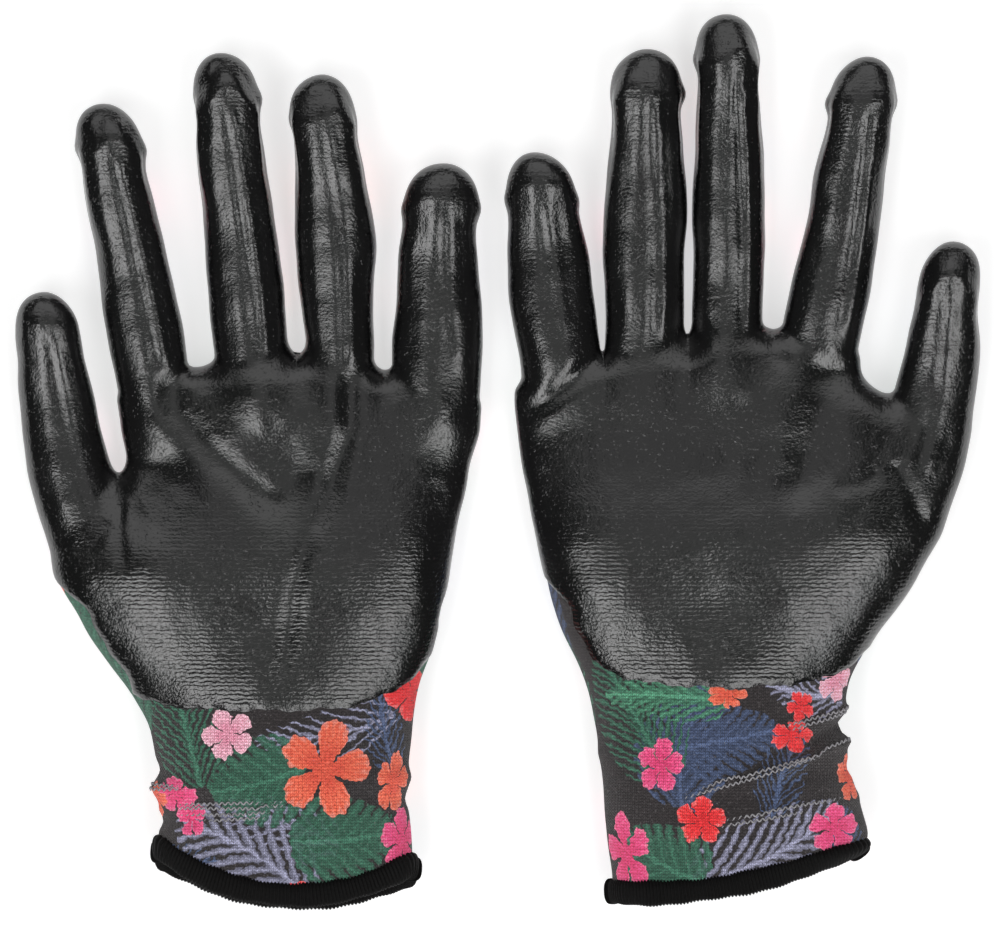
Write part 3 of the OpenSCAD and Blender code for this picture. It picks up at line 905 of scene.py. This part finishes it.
def build_glove(glove):
    """A glove's knit and coat, as one surface that is cut into the CAD's pieces."""
    side = glove.side
    boxes = [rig.box(n) for n in frame["nodes"] if n.startswith(side)]
    low = np.min([np.array(b[0]) for b in boxes], 0) / MM
    high = np.max([np.array(b[1]) for b in boxes], 0) / MM
    verts, quads = surface_nets(glove, low - (3, 6, 4), high + (3, 3, 3), CELL)
    verts = relax(verts, quads, 2)
    verts, _ = glove.settle(verts, 2)
    tris = triangles(quads, verts)

    # The mouth, the wrist, and each stall's two seams.
    tags = np.zeros(len(tris), int)
    verts, tris, tags, inside = cut(verts, tris, tags, mouth_distance(glove, verts))
    tris, tags = tris[inside], tags[inside]
    verts, tris, tags, above = cut(verts, tris, tags, verts[:, 1] - glove.seam_y)
    tags = np.where(above, tags, CUFF)
    _, along = owner(glove, verts)
    verts, tris, tags, past = cut(verts, tris, tags, along)
    middle = verts[tris].mean(1)
    nearest, _ = owner(glove, middle)
    tags = np.where(past & (tags == PALM), STALL + 2 * nearest, tags)
    nearest, along = owner(glove, verts)
    reach = np.array([s.seam_mid - s.seam_low for s in glove.stalls])
    verts, tris, tags, past = cut(verts, tris, tags, along - reach[nearest])
    tags = np.where(past & (tags >= STALL) & (tags < CUFF), tags + 1, tags)
    verts, tris, tags, coat = cut(verts, tris, tags, coated(glove, verts))

    verts, normals = glove.settle(verts)
    edge = coated(glove, verts)
    # The coat thins to nothing at its edge. The knit lies under it, and reaches the floor where it is bare.
    depth = COAT_T * np.maximum(lifted(normals), smooth(edge / 3 + 1))
    knit = verts - normals * depth[:, None]
    height = EDGE_T + (depth - EDGE_T) * smooth(edge / 1.3 + 0.1)
    top = knit + normals * height[:, None]
    near_edge = smooth(2.2 - np.abs(edge))[:, None]
    n_top = normals * (1 - near_edge) + mesh_normals(top, tris) * near_edge
    n_knit = normals * (1 - near_edge) + mesh_normals(knit, tris) * near_edge
    finger = np.zeros(len(verts), bool)
    finger[tris[(tags >= STALL) & (tags < CUFF)]] = True
    nearest, _ = owner(glove, verts)
    weave = knit_weave(glove, verts, normals, nearest, finger)
    lining = knit - normals * KNIT_T

    names = {PALM: side + "_palm", CUFF: side + "_cuff"}
    for k, s in enumerate(glove.stalls):
        names[STALL + 2 * k] = s.name + "_lower"
        names[STALL + 2 * k + 1] = s.name + "_tip"
    made = {}
    for tag, name in names.items():
        mine = tags == tag
        ob = shell(name + "_liner_knit", tris[mine], knit, lining, n_knit, weave)
        made[name + "_liner"] = dress(ob, name + "_liner", "printed_knit", KNIT[side])
        if tag != CUFF:
            under = knit + normals * GAP
            ob = shell(name + "_coat_dip", tris[mine & coat], top, under, n_top, weave)
            made[name + "_coat"] = dress(ob, name + "_coat", "nitrile_coat", NITRILE)
    return made


# ---------------------------------------------------------------- cuff's edge and elastic

def cuff_ring(glove, count, where):
    """Points round the cuff on the surface of its knit, with their normals. Where gives y from x and z."""
    phi = np.linspace(0, 2 * math.pi, 1441)[:-1]
    y = np.full(len(phi), where(np.full(1, glove.wrist[0]), np.full(1, CUFF_MIDDLE))[0])
    for _ in range(6):
        cx, cz, a, b = glove.loft.at(y)
        n = glove.loft.power
        x = cx + a * signed_power(np.cos(phi), 2 / n)
        z = np.maximum(cz + b * signed_power(np.sin(phi), 2 / n), 0)
        y = where(x, z)
    p = np.stack([x, y, z], 1)
    closed = np.concatenate([p, p[:1]])
    run = np.concatenate([[0], np.cumsum(np.linalg.norm(np.diff(closed, axis=0), axis=1))])
    at = np.linspace(0, run[-1], count + 1)[:-1]
    p = np.stack([np.interp(at, run, closed[:, k]) for k in range(3)], 1)
    q, n = glove.settle(p, 4)
    for _ in range(4):
        q[:, 1] = where(q[:, 0], q[:, 2])
        level = n * (1, 0, 1)
        level /= np.maximum(np.linalg.norm(level, axis=1), 0.3)[:, None]
        q -= level * glove.field(q)[:, None]
    q[:, 1] = where(q[:, 0], q[:, 2])
    return q - n * (COAT_T * lifted(n))[:, None], n, at, run[-1]


def tube(centre, first, second, a, b):
    """The points and quads of a closed tube round a loop.

    A row of a and b gives a ring's points, along the first direction and the second.
    """
    count, sides = a.shape
    verts = (centre[:, None] + first[:, None] * a[..., None] + second[:, None] * b[..., None]).reshape(-1, 3)
    i = np.arange(count)[:, None] * sides
    j = (np.arange(count)[:, None] + 1) % count * sides
    k, m = np.arange(sides)[None], (np.arange(sides)[None] + 1) % sides
    return verts, np.stack([i + k, j + k, j + m, i + m], -1).reshape(-1, 4)


def headings(p):
    """The direction of a loop at each of its points."""
    return unit(np.roll(p, -1, 0) - np.roll(p, 1, 0))


def circle(sides):
    return np.linspace(0, 2 * math.pi, sides + 1)[:-1][None]


def build_hem(glove):
    """Overlock thread over the cuff's edge: a flat band whose ribs cross it on a slant."""
    def where(x, z):
        mx, my, r = mouth_arc(glove, z)
        return my - np.sqrt(np.maximum(r ** 2 - (x - mx) ** 2, 1))

    p, n, at, length = cuff_ring(glove, RIBS * 8, where)
    along = headings(p)
    out = unit(np.cross(along, n))
    out *= np.where(out[:, 1:2] > 0, -1, 1)
    n = np.cross(out, along)
    n *= np.where((n[:, 2:3] * (p[:, 2:3] - CUFF_MIDDLE)) < 0, -1, 1)
    phi = circle(22)
    turn = 2 * math.pi * RIBS * (at / length)[:, None]
    rib = np.abs(np.cos(turn / 2 + 0.5 * np.cos(phi)))
    wobble = 1 + 0.05 * np.sin(at * 0.23)[:, None] + 0.04 * np.sin(at * 0.71 + 1)[:, None]
    size = (0.9 + 0.17 * rib) * wobble
    half_width, half_height, back, down, least_z = 3.3, 1.85, 2.2, 0.45, 1.5
    a = half_width * signed_power(np.cos(phi), 0.8) * size - back
    b = half_height * signed_power(np.sin(phi), 0.8) * size - down
    p[:, 2] = np.maximum(p[:, 2], least_z)
    ob = new_object(glove.side + "_hem_ribs", *tube(p, out, n, a, b))
    return dress(ob, glove.side + "_hem_overlock", "hem_thread", HEM)


def build_elastic(glove):
    """Bands of elastic thread laid in round the cuff. Each comes up over the knit for a part of its way."""
    verts, faces, start = [], [], 0
    for level, slope, place, spread in BANDS[glove.side]:

        def where(x, z, level=level, slope=slope):
            return level + slope * (x - glove.wrist[0]) + 0 * z

        p, n, at, length = cuff_ring(glove, STITCHES * 6, where)
        turn = 2 * math.pi * STITCHES * (at / length)
        shown = bell((p[:, 0] - place) / spread) * (p[:, 2] > 12)
        p = p + n * (-0.6 + 0.80 * shown + 0.1 * np.sin(turn))[:, None]
        p[:, 1] += 0.38 * np.cos(turn)
        along = headings(p)
        sideways = unit(np.cross(n, along))
        phi = circle(5) + np.zeros((len(p), 1))
        ring = (THREAD_R * np.cos(phi), THREAD_R * np.sin(phi))
        v, quads = tube(p, sideways, np.cross(along, sideways), *ring)
        # The two directions are the other way round than in the hem, so its faces are turned over.
        faces.append(quads[:, [0, 3, 2, 1]] + start)
        verts.append(v)
        start += len(v)
    node = glove.side + "_cuff_elastic"
    ob = new_object(node + "_thread", np.concatenate(verts), np.concatenate(faces))
    return dress(ob, node, "elastic_thread", ELASTIC)


# ---------------------------------------------------------------- materials

class Tree:
    """Short ways to add shader nodes."""

    def __init__(self, tree):
        self.tree = tree

    def node(self, kind, **facts):
        made = self.tree.nodes.new(kind)
        for k, v in facts.items():
            setattr(made, k, v)
        return made

    def put(self, socket, value):
        if isinstance(value, bpy.types.NodeSocket):
            self.tree.links.new(value, socket)
        elif value is not None:
            socket.default_value = value

    def first(self, kind, *values, **facts):
        """The first output of a node whose first inputs are these values."""
        made = self.node(kind, **facts)
        for socket, value in zip(made.inputs, values):
            self.put(socket, value)
        return made.outputs[0]

    def math(self, operation, *values):
        return self.first("ShaderNodeMath", *values, operation=operation)

    def vector(self, operation, *values):
        return self.first("ShaderNodeVectorMath", *values, operation=operation)

    def scale(self, a, factor):
        return self.vector("SCALE", a, None, None, factor)

    def split(self, a):
        made = self.node("ShaderNodeSeparateXYZ")
        self.put(made.inputs[0], a)
        return made.outputs

    def flat(self, x, y):
        return self.first("ShaderNodeCombineXYZ", x, y)

    def mix(self, factor, a, b):
        made = self.node("ShaderNodeMix", data_type="RGBA")
        for socket, value in ((made.inputs[0], factor), (made.inputs[6], a), (made.inputs[7], b)):
            self.put(socket, value)
        return made.outputs[2]

    def noise(self, where, scale, detail=2.0, rough=0.5, output=0):
        made = self.node("ShaderNodeTexNoise")
        for key, value in (("Vector", where), ("Scale", scale), ("Detail", detail), ("Roughness", rough)):
            self.put(made.inputs[key], value)
        return made.outputs[output]

    def ramp(self, value, low, high, out_low=0.0, out_high=1.0):
        levels = (low, high, out_low, out_high)
        return self.first("ShaderNodeMapRange", value, *levels, interpolation_type="SMOOTHSTEP")

    def bump(self, height, distance, strength=1.0, normal=None):
        made = self.node("ShaderNodeBump")
        sockets = ("Strength", "Distance", "Height", "Normal")
        for key, value in zip(sockets, (strength, distance, height, normal)):
            self.put(made.inputs[key], value)
        return made.outputs[0]

    def weave(self):
        """Millimetres round the glove and along it, and how strongly the knit shows through a coat."""
        made = self.node("ShaderNodeAttribute", attribute_name="weave")
        return self.split(made.outputs["Vector"])

    def add(self, a, b):
        return self.math("ADD", a, b)

    def minus(self, a, b):
        return self.math("SUBTRACT", a, b)

    def times(self, a, b):
        return self.math("MULTIPLY", a, b)

    def over(self, a, b):
        return self.math("DIVIDE", a, b)

    def power(self, a, b):
        return self.math("POWER", a, b)

    def sine(self, a):
        return self.math("SINE", a)

    def size(self, a):
        return self.math("ABSOLUTE", a)


def material(name):
    made = bpy.data.materials.new(name)
    made.use_nodes = True
    tree = Tree(made.node_tree)
    shader = made.node_tree.nodes["Principled BSDF"]
    return made, tree, shader.inputs


def group(name, numbers):
    """A node group that draws one motif. It takes a point, the motif's centre and some numbers."""
    made = bpy.data.node_groups.new(name, "ShaderNodeTree")
    for n in ("Point", "Centre"):
        made.interface.new_socket(n, in_out="INPUT", socket_type="NodeSocketVector")
    for n in numbers:
        made.interface.new_socket(n, in_out="INPUT", socket_type="NodeSocketFloat")
    for n in ("Mask", "Tone"):
        made.interface.new_socket(n, in_out="OUTPUT", socket_type="NodeSocketFloat")
    start = made.nodes.new("NodeGroupInput")
    end = made.nodes.new("NodeGroupOutput")
    return made, Tree(made), start.outputs, end.inputs


# The print repeats after this many millimetres round the glove and along it.
REPEAT = (104.0, 82.0, 1.0)
FLOWER_FACTS = ("Angle", "Size", "Squash")
LEAF_FACTS = ("Angle", "Length", "Width", "Count", "Fill", "Solid", "Curve")


def local(t, i):
    """A point's place in a motif's own axes, with the print's repeat."""
    half = tuple(0.5 * r for r in REPEAT)
    away = t.vector("SUBTRACT", i["Point"], i["Centre"])
    away = t.vector("WRAP", away, half, tuple(-h for h in half))
    turned = t.node("ShaderNodeVectorRotate", rotation_type="Z_AXIS")
    t.put(turned.inputs["Vector"], away)
    t.put(turned.inputs["Angle"], t.times(i["Angle"], -1.0))
    return turned.outputs[0]


def flower_group():
    made, t, i, o = group("flower", FLOWER_FACTS)
    x, y, _ = t.split(local(t, i))
    y = t.over(y, i["Squash"])
    r = t.over(t.math("SQRT", t.add(t.times(x, x), t.times(y, y))), i["Size"])
    way = t.math("ARCTAN2", y, x)
    # Five petals, each an oval whose narrow end is at the throat.
    turn = t.minus(t.math("FRACT", t.add(t.times(way, 2.5 / math.pi), 5.5)), 0.5)
    turn = t.times(turn, 0.4 * math.pi)
    out = t.times(r, t.math("COSINE", turn))
    across = t.times(r, t.sine(turn))
    girth = t.ramp(out, 0.1, 0.75, 0.16, t.ramp(i["Size"], 8.5, 12.0, 0.41, 0.34))
    length_share = t.size(t.over(t.minus(out, 0.55), 0.45))
    girth_share = t.size(t.over(across, girth))
    oval = t.math("SQRT", t.add(t.power(length_share, 2.4), t.power(girth_share, 2.4)))
    wave = t.times(t.sine(t.times(way, 17.0)), 0.05)
    oval = t.add(oval, wave)
    throat = t.over(r, 0.26)
    edge = t.math("MINIMUM", oval, throat)
    t.put(o["Mask"], t.ramp(edge, 1.04, 0.96))
    # Veins run out along the petals. Those are dark where they meet, and pale at their rims.
    vein = t.times(t.sine(t.times(turn, 34.0)), 0.2)
    tone = t.add(vein, t.ramp(r, 0.1, 0.75, 0.0, 0.8))
    tone = t.minus(tone, t.times(t.ramp(t.size(turn), 0.50, 0.63), 0.5))
    t.put(o["Tone"], t.add(tone, t.ramp(oval, 0.6, 0.95, 0.0, 0.35)))
    return made


def leaf_group():
    made, t, i, o = group("leaf", LEAF_FACTS)
    x, y, _ = t.split(local(t, i))
    x = t.add(t.over(x, i["Length"]), 0.5)
    bend = t.times(t.sine(t.times(x, math.pi)), i["Curve"])
    y = t.minus(y, bend)
    side = t.size(y)
    wide = t.over(side, i["Width"])
    inside = t.math("MINIMUM", t.math("MAXIMUM", x, 0.0005), 0.9995)
    envelope = t.power(t.sine(t.times(t.power(inside, 0.7), math.pi)), 0.55)
    q = t.over(wide, envelope)
    swept = t.minus(x, t.times(t.power(wide, 0.8), 0.42))
    shifted = t.add(t.times(swept, i["Count"]), t.times(t.math("SIGN", y), 0.23))
    f = t.math("FRACT", t.add(shifted, 40.0))
    edge = t.times(t.size(t.minus(f, 0.5)), 2.0)
    # The blades of a feather leaf taper to points, and those of a split leaf stay broad.
    taper = t.ramp(i["Solid"], 0.2, 0.4, 0.75, 0.3)
    full = t.times(i["Fill"], t.add(1.0, t.times(taper, t.minus(0.33, q))))
    blade = t.ramp(t.minus(full, edge), -0.12, 0.12)
    solid = t.ramp(t.minus(i["Solid"], q), -0.06, 0.06)
    body = t.math("MAXIMUM", blade, solid)
    rim = t.ramp(q, 1.02, 0.96)
    mask = t.times(t.times(body, rim), t.times(t.ramp(x, 0.0, 0.01), t.ramp(x, 1.0, 0.99)))
    t.put(o["Mask"], mask)
    rib = t.ramp(side, 0.75, 0.25)
    vein = t.ramp(edge, 0.0, 0.3, 0.35, 0.0)
    shade = t.times(t.ramp(i["Solid"], 0.2, 0.4, 0.35, 0.12), edge)
    tone = t.add(t.minus(0.5, shade), t.add(vein, t.times(rib, 0.6)))
    t.put(o["Tone"], tone)
    return made


HOT, RED, ORANGE, PALE = (1.0, 0.10, 0.29), (1.0, 0.045, 0.05), (1.0, 0.18, 0.095), (1.0, 0.52, 0.64)
GREEN, LIGHT_GREEN = (0.035, 0.118, 0.076), (0.06, 0.20, 0.12)
LILAC, NAVY = (0.22, 0.22, 0.31), (0.055, 0.078, 0.148)
GROUND, UNDYED = (0.030, 0.025, 0.026), (0.42, 0.40, 0.40)

# The print's leaves: centre, colour, then LEAF_FACTS. Width is half the leaf's, and Count is of its blades.
LEAVES = {
    "left": [
        (-47, -72, LILAC, 190, 40, 7, 7, 0.42, 0.06, 2), (-60, -100, LILAC, 165, 34, 8, 6, 0.42, 0.04, -3),
        (-86, -71, GREEN, 105, 36, 11, 12, 0.55, 0.10, 0), (-88, -112, NAVY, 20, 24, 8, 9, 0.5, 0.1, 1),
        (-70, -108, LILAC, 150, 44, 15, 8.5, 0.62, 0.06, -3.5),
        (-66, -86, GREEN, 195, 27, 12.5, 6.5, 0.90, 0.62, 1),
        (-42, -101, GREEN, 5, 30, 12.5, 7, 0.90, 0.62, -1.5), (-30, -72, NAVY, 100, 24, 6, 8, 0.5, 0.1, 1),
        (-114, -54, GREEN, 122, 50, 14, 9, 0.95, 0.35, 0),
        (-122, -42, GREEN, 100, 40, 10, 9, 0.95, 0.35, 0),
    ],
    "right": [
        (52, -77, NAVY, 80, 34, 13, 9, 0.85, 0.25, 3), (62, -75, NAVY, 10, 30, 10, 8, 0.9, 0.35, 0),
        (36, -68, GREEN, 120, 40, 12, 13, 0.62, 0.12, 0),
        (45, -64, LIGHT_GREEN, 178, 34, 7, 8, 0.72, 0.3, -1), (78, -84, NAVY, 70, 26, 7, 10, 0.5, 0.08, 1),
        (73, -104, LILAC, 28, 46, 13, 10, 0.62, 0.05, -3), (84, -62, LILAC, 170, 24, 6, 7, 0.5, 0.15, 1),
        (44, -108, GREEN, 150, 26, 12, 6.5, 0.90, 0.6, 1), (96, -104, NAVY, 100, 22, 6, 7, 0.6, 0.3, 0),
        (6, -44, NAVY, 95, 44, 10, 8, 0.95, 0.35, 0), (12, -62, GREEN, 100, 34, 10, 8, 0.9, 0.3, 0),
    ],
}
# Its flowers: centre, colour, then FLOWER_FACTS.
FLOWERS = {
    "left": [
        (-74, -73.5, PALE, 40, 7.4, 0.9), (-47.5, -83, ORANGE, 75, 13.5, 0.92),
        (-28, -87, ORANGE, 80, 8.2, 0.62), (-23, -63, RED, 50, 7, 1.3), (-17.5, -49, RED, 10, 4.5, 1.1),
        (-89, -90.5, HOT, 160, 7, 0.7), (-84.5, -96.5, HOT, 100, 5.4, 0.8), (-25, -103, HOT, 90, 9, 0.75),
        (-54.5, -116.8, RED, 0, 4.2, 0.8), (-96.5, -92, ORANGE, 0, 4.5, 1.2), (-128, -34, ORANGE, 0, 6, 1),
    ],
    "right": [
        (61.5, -62.8, ORANGE, 0, 5.6, 0.62), (43.3, -82, HOT, 80, 7.6, 0.8),
        (54.5, -97, RED, 15, 6.8, 0.95), (82, -66, RED, 40, 4, 1), (79.5, -74, RED, 0, 6, 0.7),
        (92.7, -58.8, PALE, 70, 6.8, 0.8), (97.5, -86, ORANGE, 90, 6.4, 0.7),
        (91.5, -99.5, HOT, 15, 7.4, 0.9), (33.5, -106.5, HOT, 100, 11.5, 0.62),
    ],
}


def paint(colour, factor=1.0):
    """A colour for a socket, brighter or darker by a factor."""
    return tuple(min(1, factor * c) for c in colour) + (1,)


def motif(t, tree, point, centre, names, facts):
    """One flower or leaf of the print: its mask and its tone."""
    made = t.node("ShaderNodeGroup", node_tree=tree)
    t.put(made.inputs["Point"], point)
    t.put(made.inputs["Centre"], (*centre, 0))
    for name, value in zip(names, (math.radians(facts[0]), *facts[1:])):
        t.put(made.inputs[name], float(value))
    return made.outputs


def knit_material(side, flower, leaf):
    made, t, s = material(f"printed_knit_{side}")
    u, v, _ = t.weave()
    flat = t.flat(u, v)
    # Columns of stitches, whose courses dip at each column's middle.
    place = t.math("FRACT", t.add(t.over(u, WALE), 400.0))
    column = t.size(t.minus(place, 0.5))
    course = t.add(t.over(v, COURSE), t.times(column, 1.1))
    ridge = t.size(t.sine(t.times(course, math.pi)))
    groove = t.ramp(column, 0.5, 0.36, 0.0, 1.0)
    middle = t.ramp(column, 0.0, 0.12, 0.35, 1.0)
    stitch = t.times(t.times(ridge, groove), middle)
    # The print's edges follow the stitches.
    grain = t.noise(flat, 1.3, 2.0, 0.6)
    wander = t.noise(flat, 0.55, 1.5, output="Color")
    shift = t.vector("SUBTRACT", wander, (0.5, 0.5, 0.5))
    point = t.vector("MULTIPLY_ADD", shift, (2.4, 2.4, 0.0), flat)
    shade = t.noise(flat, 0.35, 2.0, 0.5)
    colour = t.mix(shade, paint(GROUND, 0.75), paint(GROUND, 1.35))
    for x, y, c, *facts in LEAVES[side]:
        mask, tone = motif(t, leaf, point, (x, y), LEAF_FACTS, facts)
        colour = t.mix(t.times(mask, 0.92), colour, t.mix(tone, paint(c, 0.45), paint(c, 2.0)))
    for x, y, c, *facts in FLOWERS[side]:
        mask, tone = motif(t, flower, point, (x, y), FLOWER_FACTS, facts)
        light = tuple(min(1, k * 0.75 + 0.22) for k in c) + (1,)
        dark = (c[0] * 0.8, c[1] * 0.5, c[2] * 0.6, 1)
        ink = t.mix(tone, dark, paint(c))
        ink = t.mix(t.ramp(tone, 0.85, 1.25, 0.0, 0.6), ink, light)
        colour = t.mix(mask, colour, ink)
    # Undyed yarn shows here and there between the stitches.
    bare = t.times(t.ramp(grain, 0.56, 0.7), t.ramp(stitch, 0.35, 0.1))
    colour = t.mix(t.times(bare, 0.4), colour, paint(UNDYED))
    # The colour is darker in the grooves between the stitches and lighter on their tops: painted shade and painted
    # light, laid over the stitches' bump.
    painted_stitch_shade = t.ramp(stitch, 0.0, 0.75, 0.90, 1.62)
    t.put(s["Base Color"], t.scale(colour, t.times(painted_stitch_shade, t.ramp(grain, 0.3, 0.7, 0.7, 1.3))))
    t.put(s["Roughness"], 0.85)
    t.put(s["Specular IOR Level"], 0.2)
    t.put(s["Sheen Weight"], 0.25)
    t.put(s["Sheen Roughness"], 0.5)
    fine = t.noise(flat, 4.0, 2.0, 0.6)
    height = t.add(stitch, t.times(fine, 0.35))
    t.put(s["Normal"], t.bump(height, 0.00035, 0.9))
    return made


def nitrile_material():
    made, t, s = material("nitrile")
    u, v, show = t.weave()
    flat = t.flat(u, v)
    t.put(s["Base Color"], (0.0034, 0.0033, 0.0035, 1))
    t.put(s["Specular IOR Level"], 1.0)
    t.put(s["IOR"], 1.5)
    patch = t.noise(flat, 0.09, 3.0, 0.55)
    fine = t.noise(flat, 1.7, 3.0, 0.65)
    rough = t.add(t.ramp(patch, 0.3, 0.7, 0.12, 0.20), t.times(fine, 0.05))
    t.put(s["Roughness"], rough)
    # The courses of the knit below, as wavy ridges, then the skin's own grain.
    drift = t.noise(flat, 0.55, 2.0, 0.5)
    line = t.add(t.over(v, COAT_COURSE), t.times(drift, 1.3))
    course = t.add(t.times(t.sine(t.times(line, 2 * math.pi)), 0.5), 0.5)
    broken = t.ramp(t.noise(flat, 0.6, 2.0, 0.6), 0.3, 0.6, 0.45, 1.0)
    course = t.times(t.times(course, broken), show)
    pebble = t.noise(flat, 1.35, 2.5, 0.6)
    lumps = t.noise(flat, 0.16, 2.0, 0.5)
    normal = t.bump(lumps, 0.0005, 0.5)
    normal = t.bump(course, 0.000058, 1.0, normal)
    normal = t.bump(pebble, 0.000105, 1.0, normal)
    specks = t.ramp(t.noise(flat, 0.95, 1.0, 0.5), 0.60, 0.72)
    normal = t.bump(specks, 0.000045, 1.0, normal)
    t.put(s["Normal"], normal)
    return made


def thread_material(name, colour, rough, fine, shine):
    made, t, s = material(name)
    where = t.node("ShaderNodeTexCoord").outputs["Object"]
    grain = t.noise(where, fine, 3.0, 0.6)
    t.put(s["Base Color"], t.scale(colour, t.ramp(grain, 0.3, 0.7, 0.6, 1.3)))
    t.put(s["Roughness"], rough)
    t.put(s["Specular IOR Level"], shine)
    t.put(s["Normal"], t.bump(grain, 0.0002, 0.6))
    return made


FLOWER_GROUP, LEAF_GROUP = flower_group(), leaf_group()
KNIT = {side: knit_material(side, FLOWER_GROUP, LEAF_GROUP) for side in SIDES}
NITRILE = nitrile_material()
HEM = thread_material("hem_thread", (0.0045, 0.0042, 0.0042), 0.7, 1800.0, 0.12)
ELASTIC = thread_material("elastic_thread", (0.36, 0.35, 0.37), 0.7, 1500.0, 0.2)


# ---------------------------------------------------------------- the pair of gloves

for side in SIDES:
    glove = Glove(side)
    parts = build_glove(glove)
    hem = build_hem(glove)
    elastic = build_elastic(glove)
    palm_body, cuff_body = side + "_palm", side + "_cuff"
    for node in ("_palm_liner", "_palm_coat"):
        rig.ride(parts[side + node], palm_body)
    x, _, z = glove.wrist
    turn = ((x * MM, glove.seam_y * MM, z * MM), (x * MM, (glove.seam_y - TURN) * MM, z * MM))
    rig.blend(parts[side + "_cuff_liner"], palm_body, cuff_body, *turn)
    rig.blend(elastic, palm_body, cuff_body, *turn)
    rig.ride(hem, cuff_body)
    for s in glove.stalls:
        lower, tip = s.name + "_lower", s.name + "_tip"
        at_knuckle = [tuple((s.knuckle + s.d_knuckle * far) * MM) for far in (s.seam_low, s.turn_end)]
        at_middle = [tuple((s.middle + s.d_middle * far) * MM) for far in (-TURN / 2, TURN / 2)]
        for layer in ("_liner", "_coat"):
            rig.blend(parts[lower + layer], palm_body, lower, *at_knuckle)
        for layer in ("_liner", "_coat"):
            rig.blend(parts[tip + layer], lower, tip, *at_middle)


# ---------------------------------------------------------------- floor, light and camera

floor_mesh = bpy.data.meshes.new("floor")
floor_mesh.from_pydata([(-4, -4, 0), (4, -4, 0), (4, 4, 0), (-4, 4, 0)], [], [(0, 1, 2, 3)])
floor = add_object("floor", floor_mesh)
floor.location.z = -0.0002
paper, t, s = material("paper")
t.put(s["Base Color"], (0.8, 0.8, 0.8, 1))
t.put(s["Roughness"], 0.9)
t.put(s["Specular IOR Level"], 0.0)
t.put(s["Emission Color"], (1, 1, 1, 1))
t.put(s["Emission Strength"], 0.55)
floor_mesh.materials.append(paper)
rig.stage(floor)


def softbox(name, x_range, y_range, radiance):
    """A level panel 1.5 m up, facing down."""
    wide, deep = x_range[1] - x_range[0], y_range[1] - y_range[0]
    data = bpy.data.lights.new(name, "AREA")
    data.shape = "RECTANGLE"
    data.size, data.size_y = wide, deep
    data.energy = 4 * wide * deep * radiance
    add_object(name, data).location = (sum(x_range) / 2, sum(y_range) / 2, 1.5)


softbox("left_softbox", (-1.15, -0.33), (-3.3, -0.24), 2.8)
softbox("left_softbox_edge", (-1.15, -0.33), (-0.24, -0.08), 3.0)
softbox("right_softbox", (0.31, 1.15), (-3.3, -0.24), 2.3)
softbox("right_softbox_edge", (0.31, 1.15), (-0.24, -0.08), 3.4)
softbox("top_softbox", (-0.52, 0.52), (-0.07, 1.0), 0.29)
softbox("back_softbox", (-1.6, 1.6), (1.0, 5.0), 0.65)

world = bpy.data.worlds.new("studio")
world.use_nodes = True
world.node_tree.nodes["Background"].inputs["Color"].default_value = (1, 1, 1, 1)
world.node_tree.nodes["Background"].inputs["Strength"].default_value = 0.06
bpy.context.scene.world = world

camera_data = bpy.data.cameras.new("camera")
camera_data.lens, camera_data.sensor_width = 157.1, 36.0
camera = add_object("camera", camera_data)
camera.location = (0, -0.0004, 1.21)
bpy.context.scene.camera = camera
bpy.context.scene.view_settings.view_transform = "Standard"

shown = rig.bounds()
with open("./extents.json", "w") as f:
    json.dump({"cad": [list(c) for c in cad_box], "shown": [list(c) for c in shown]}, f)
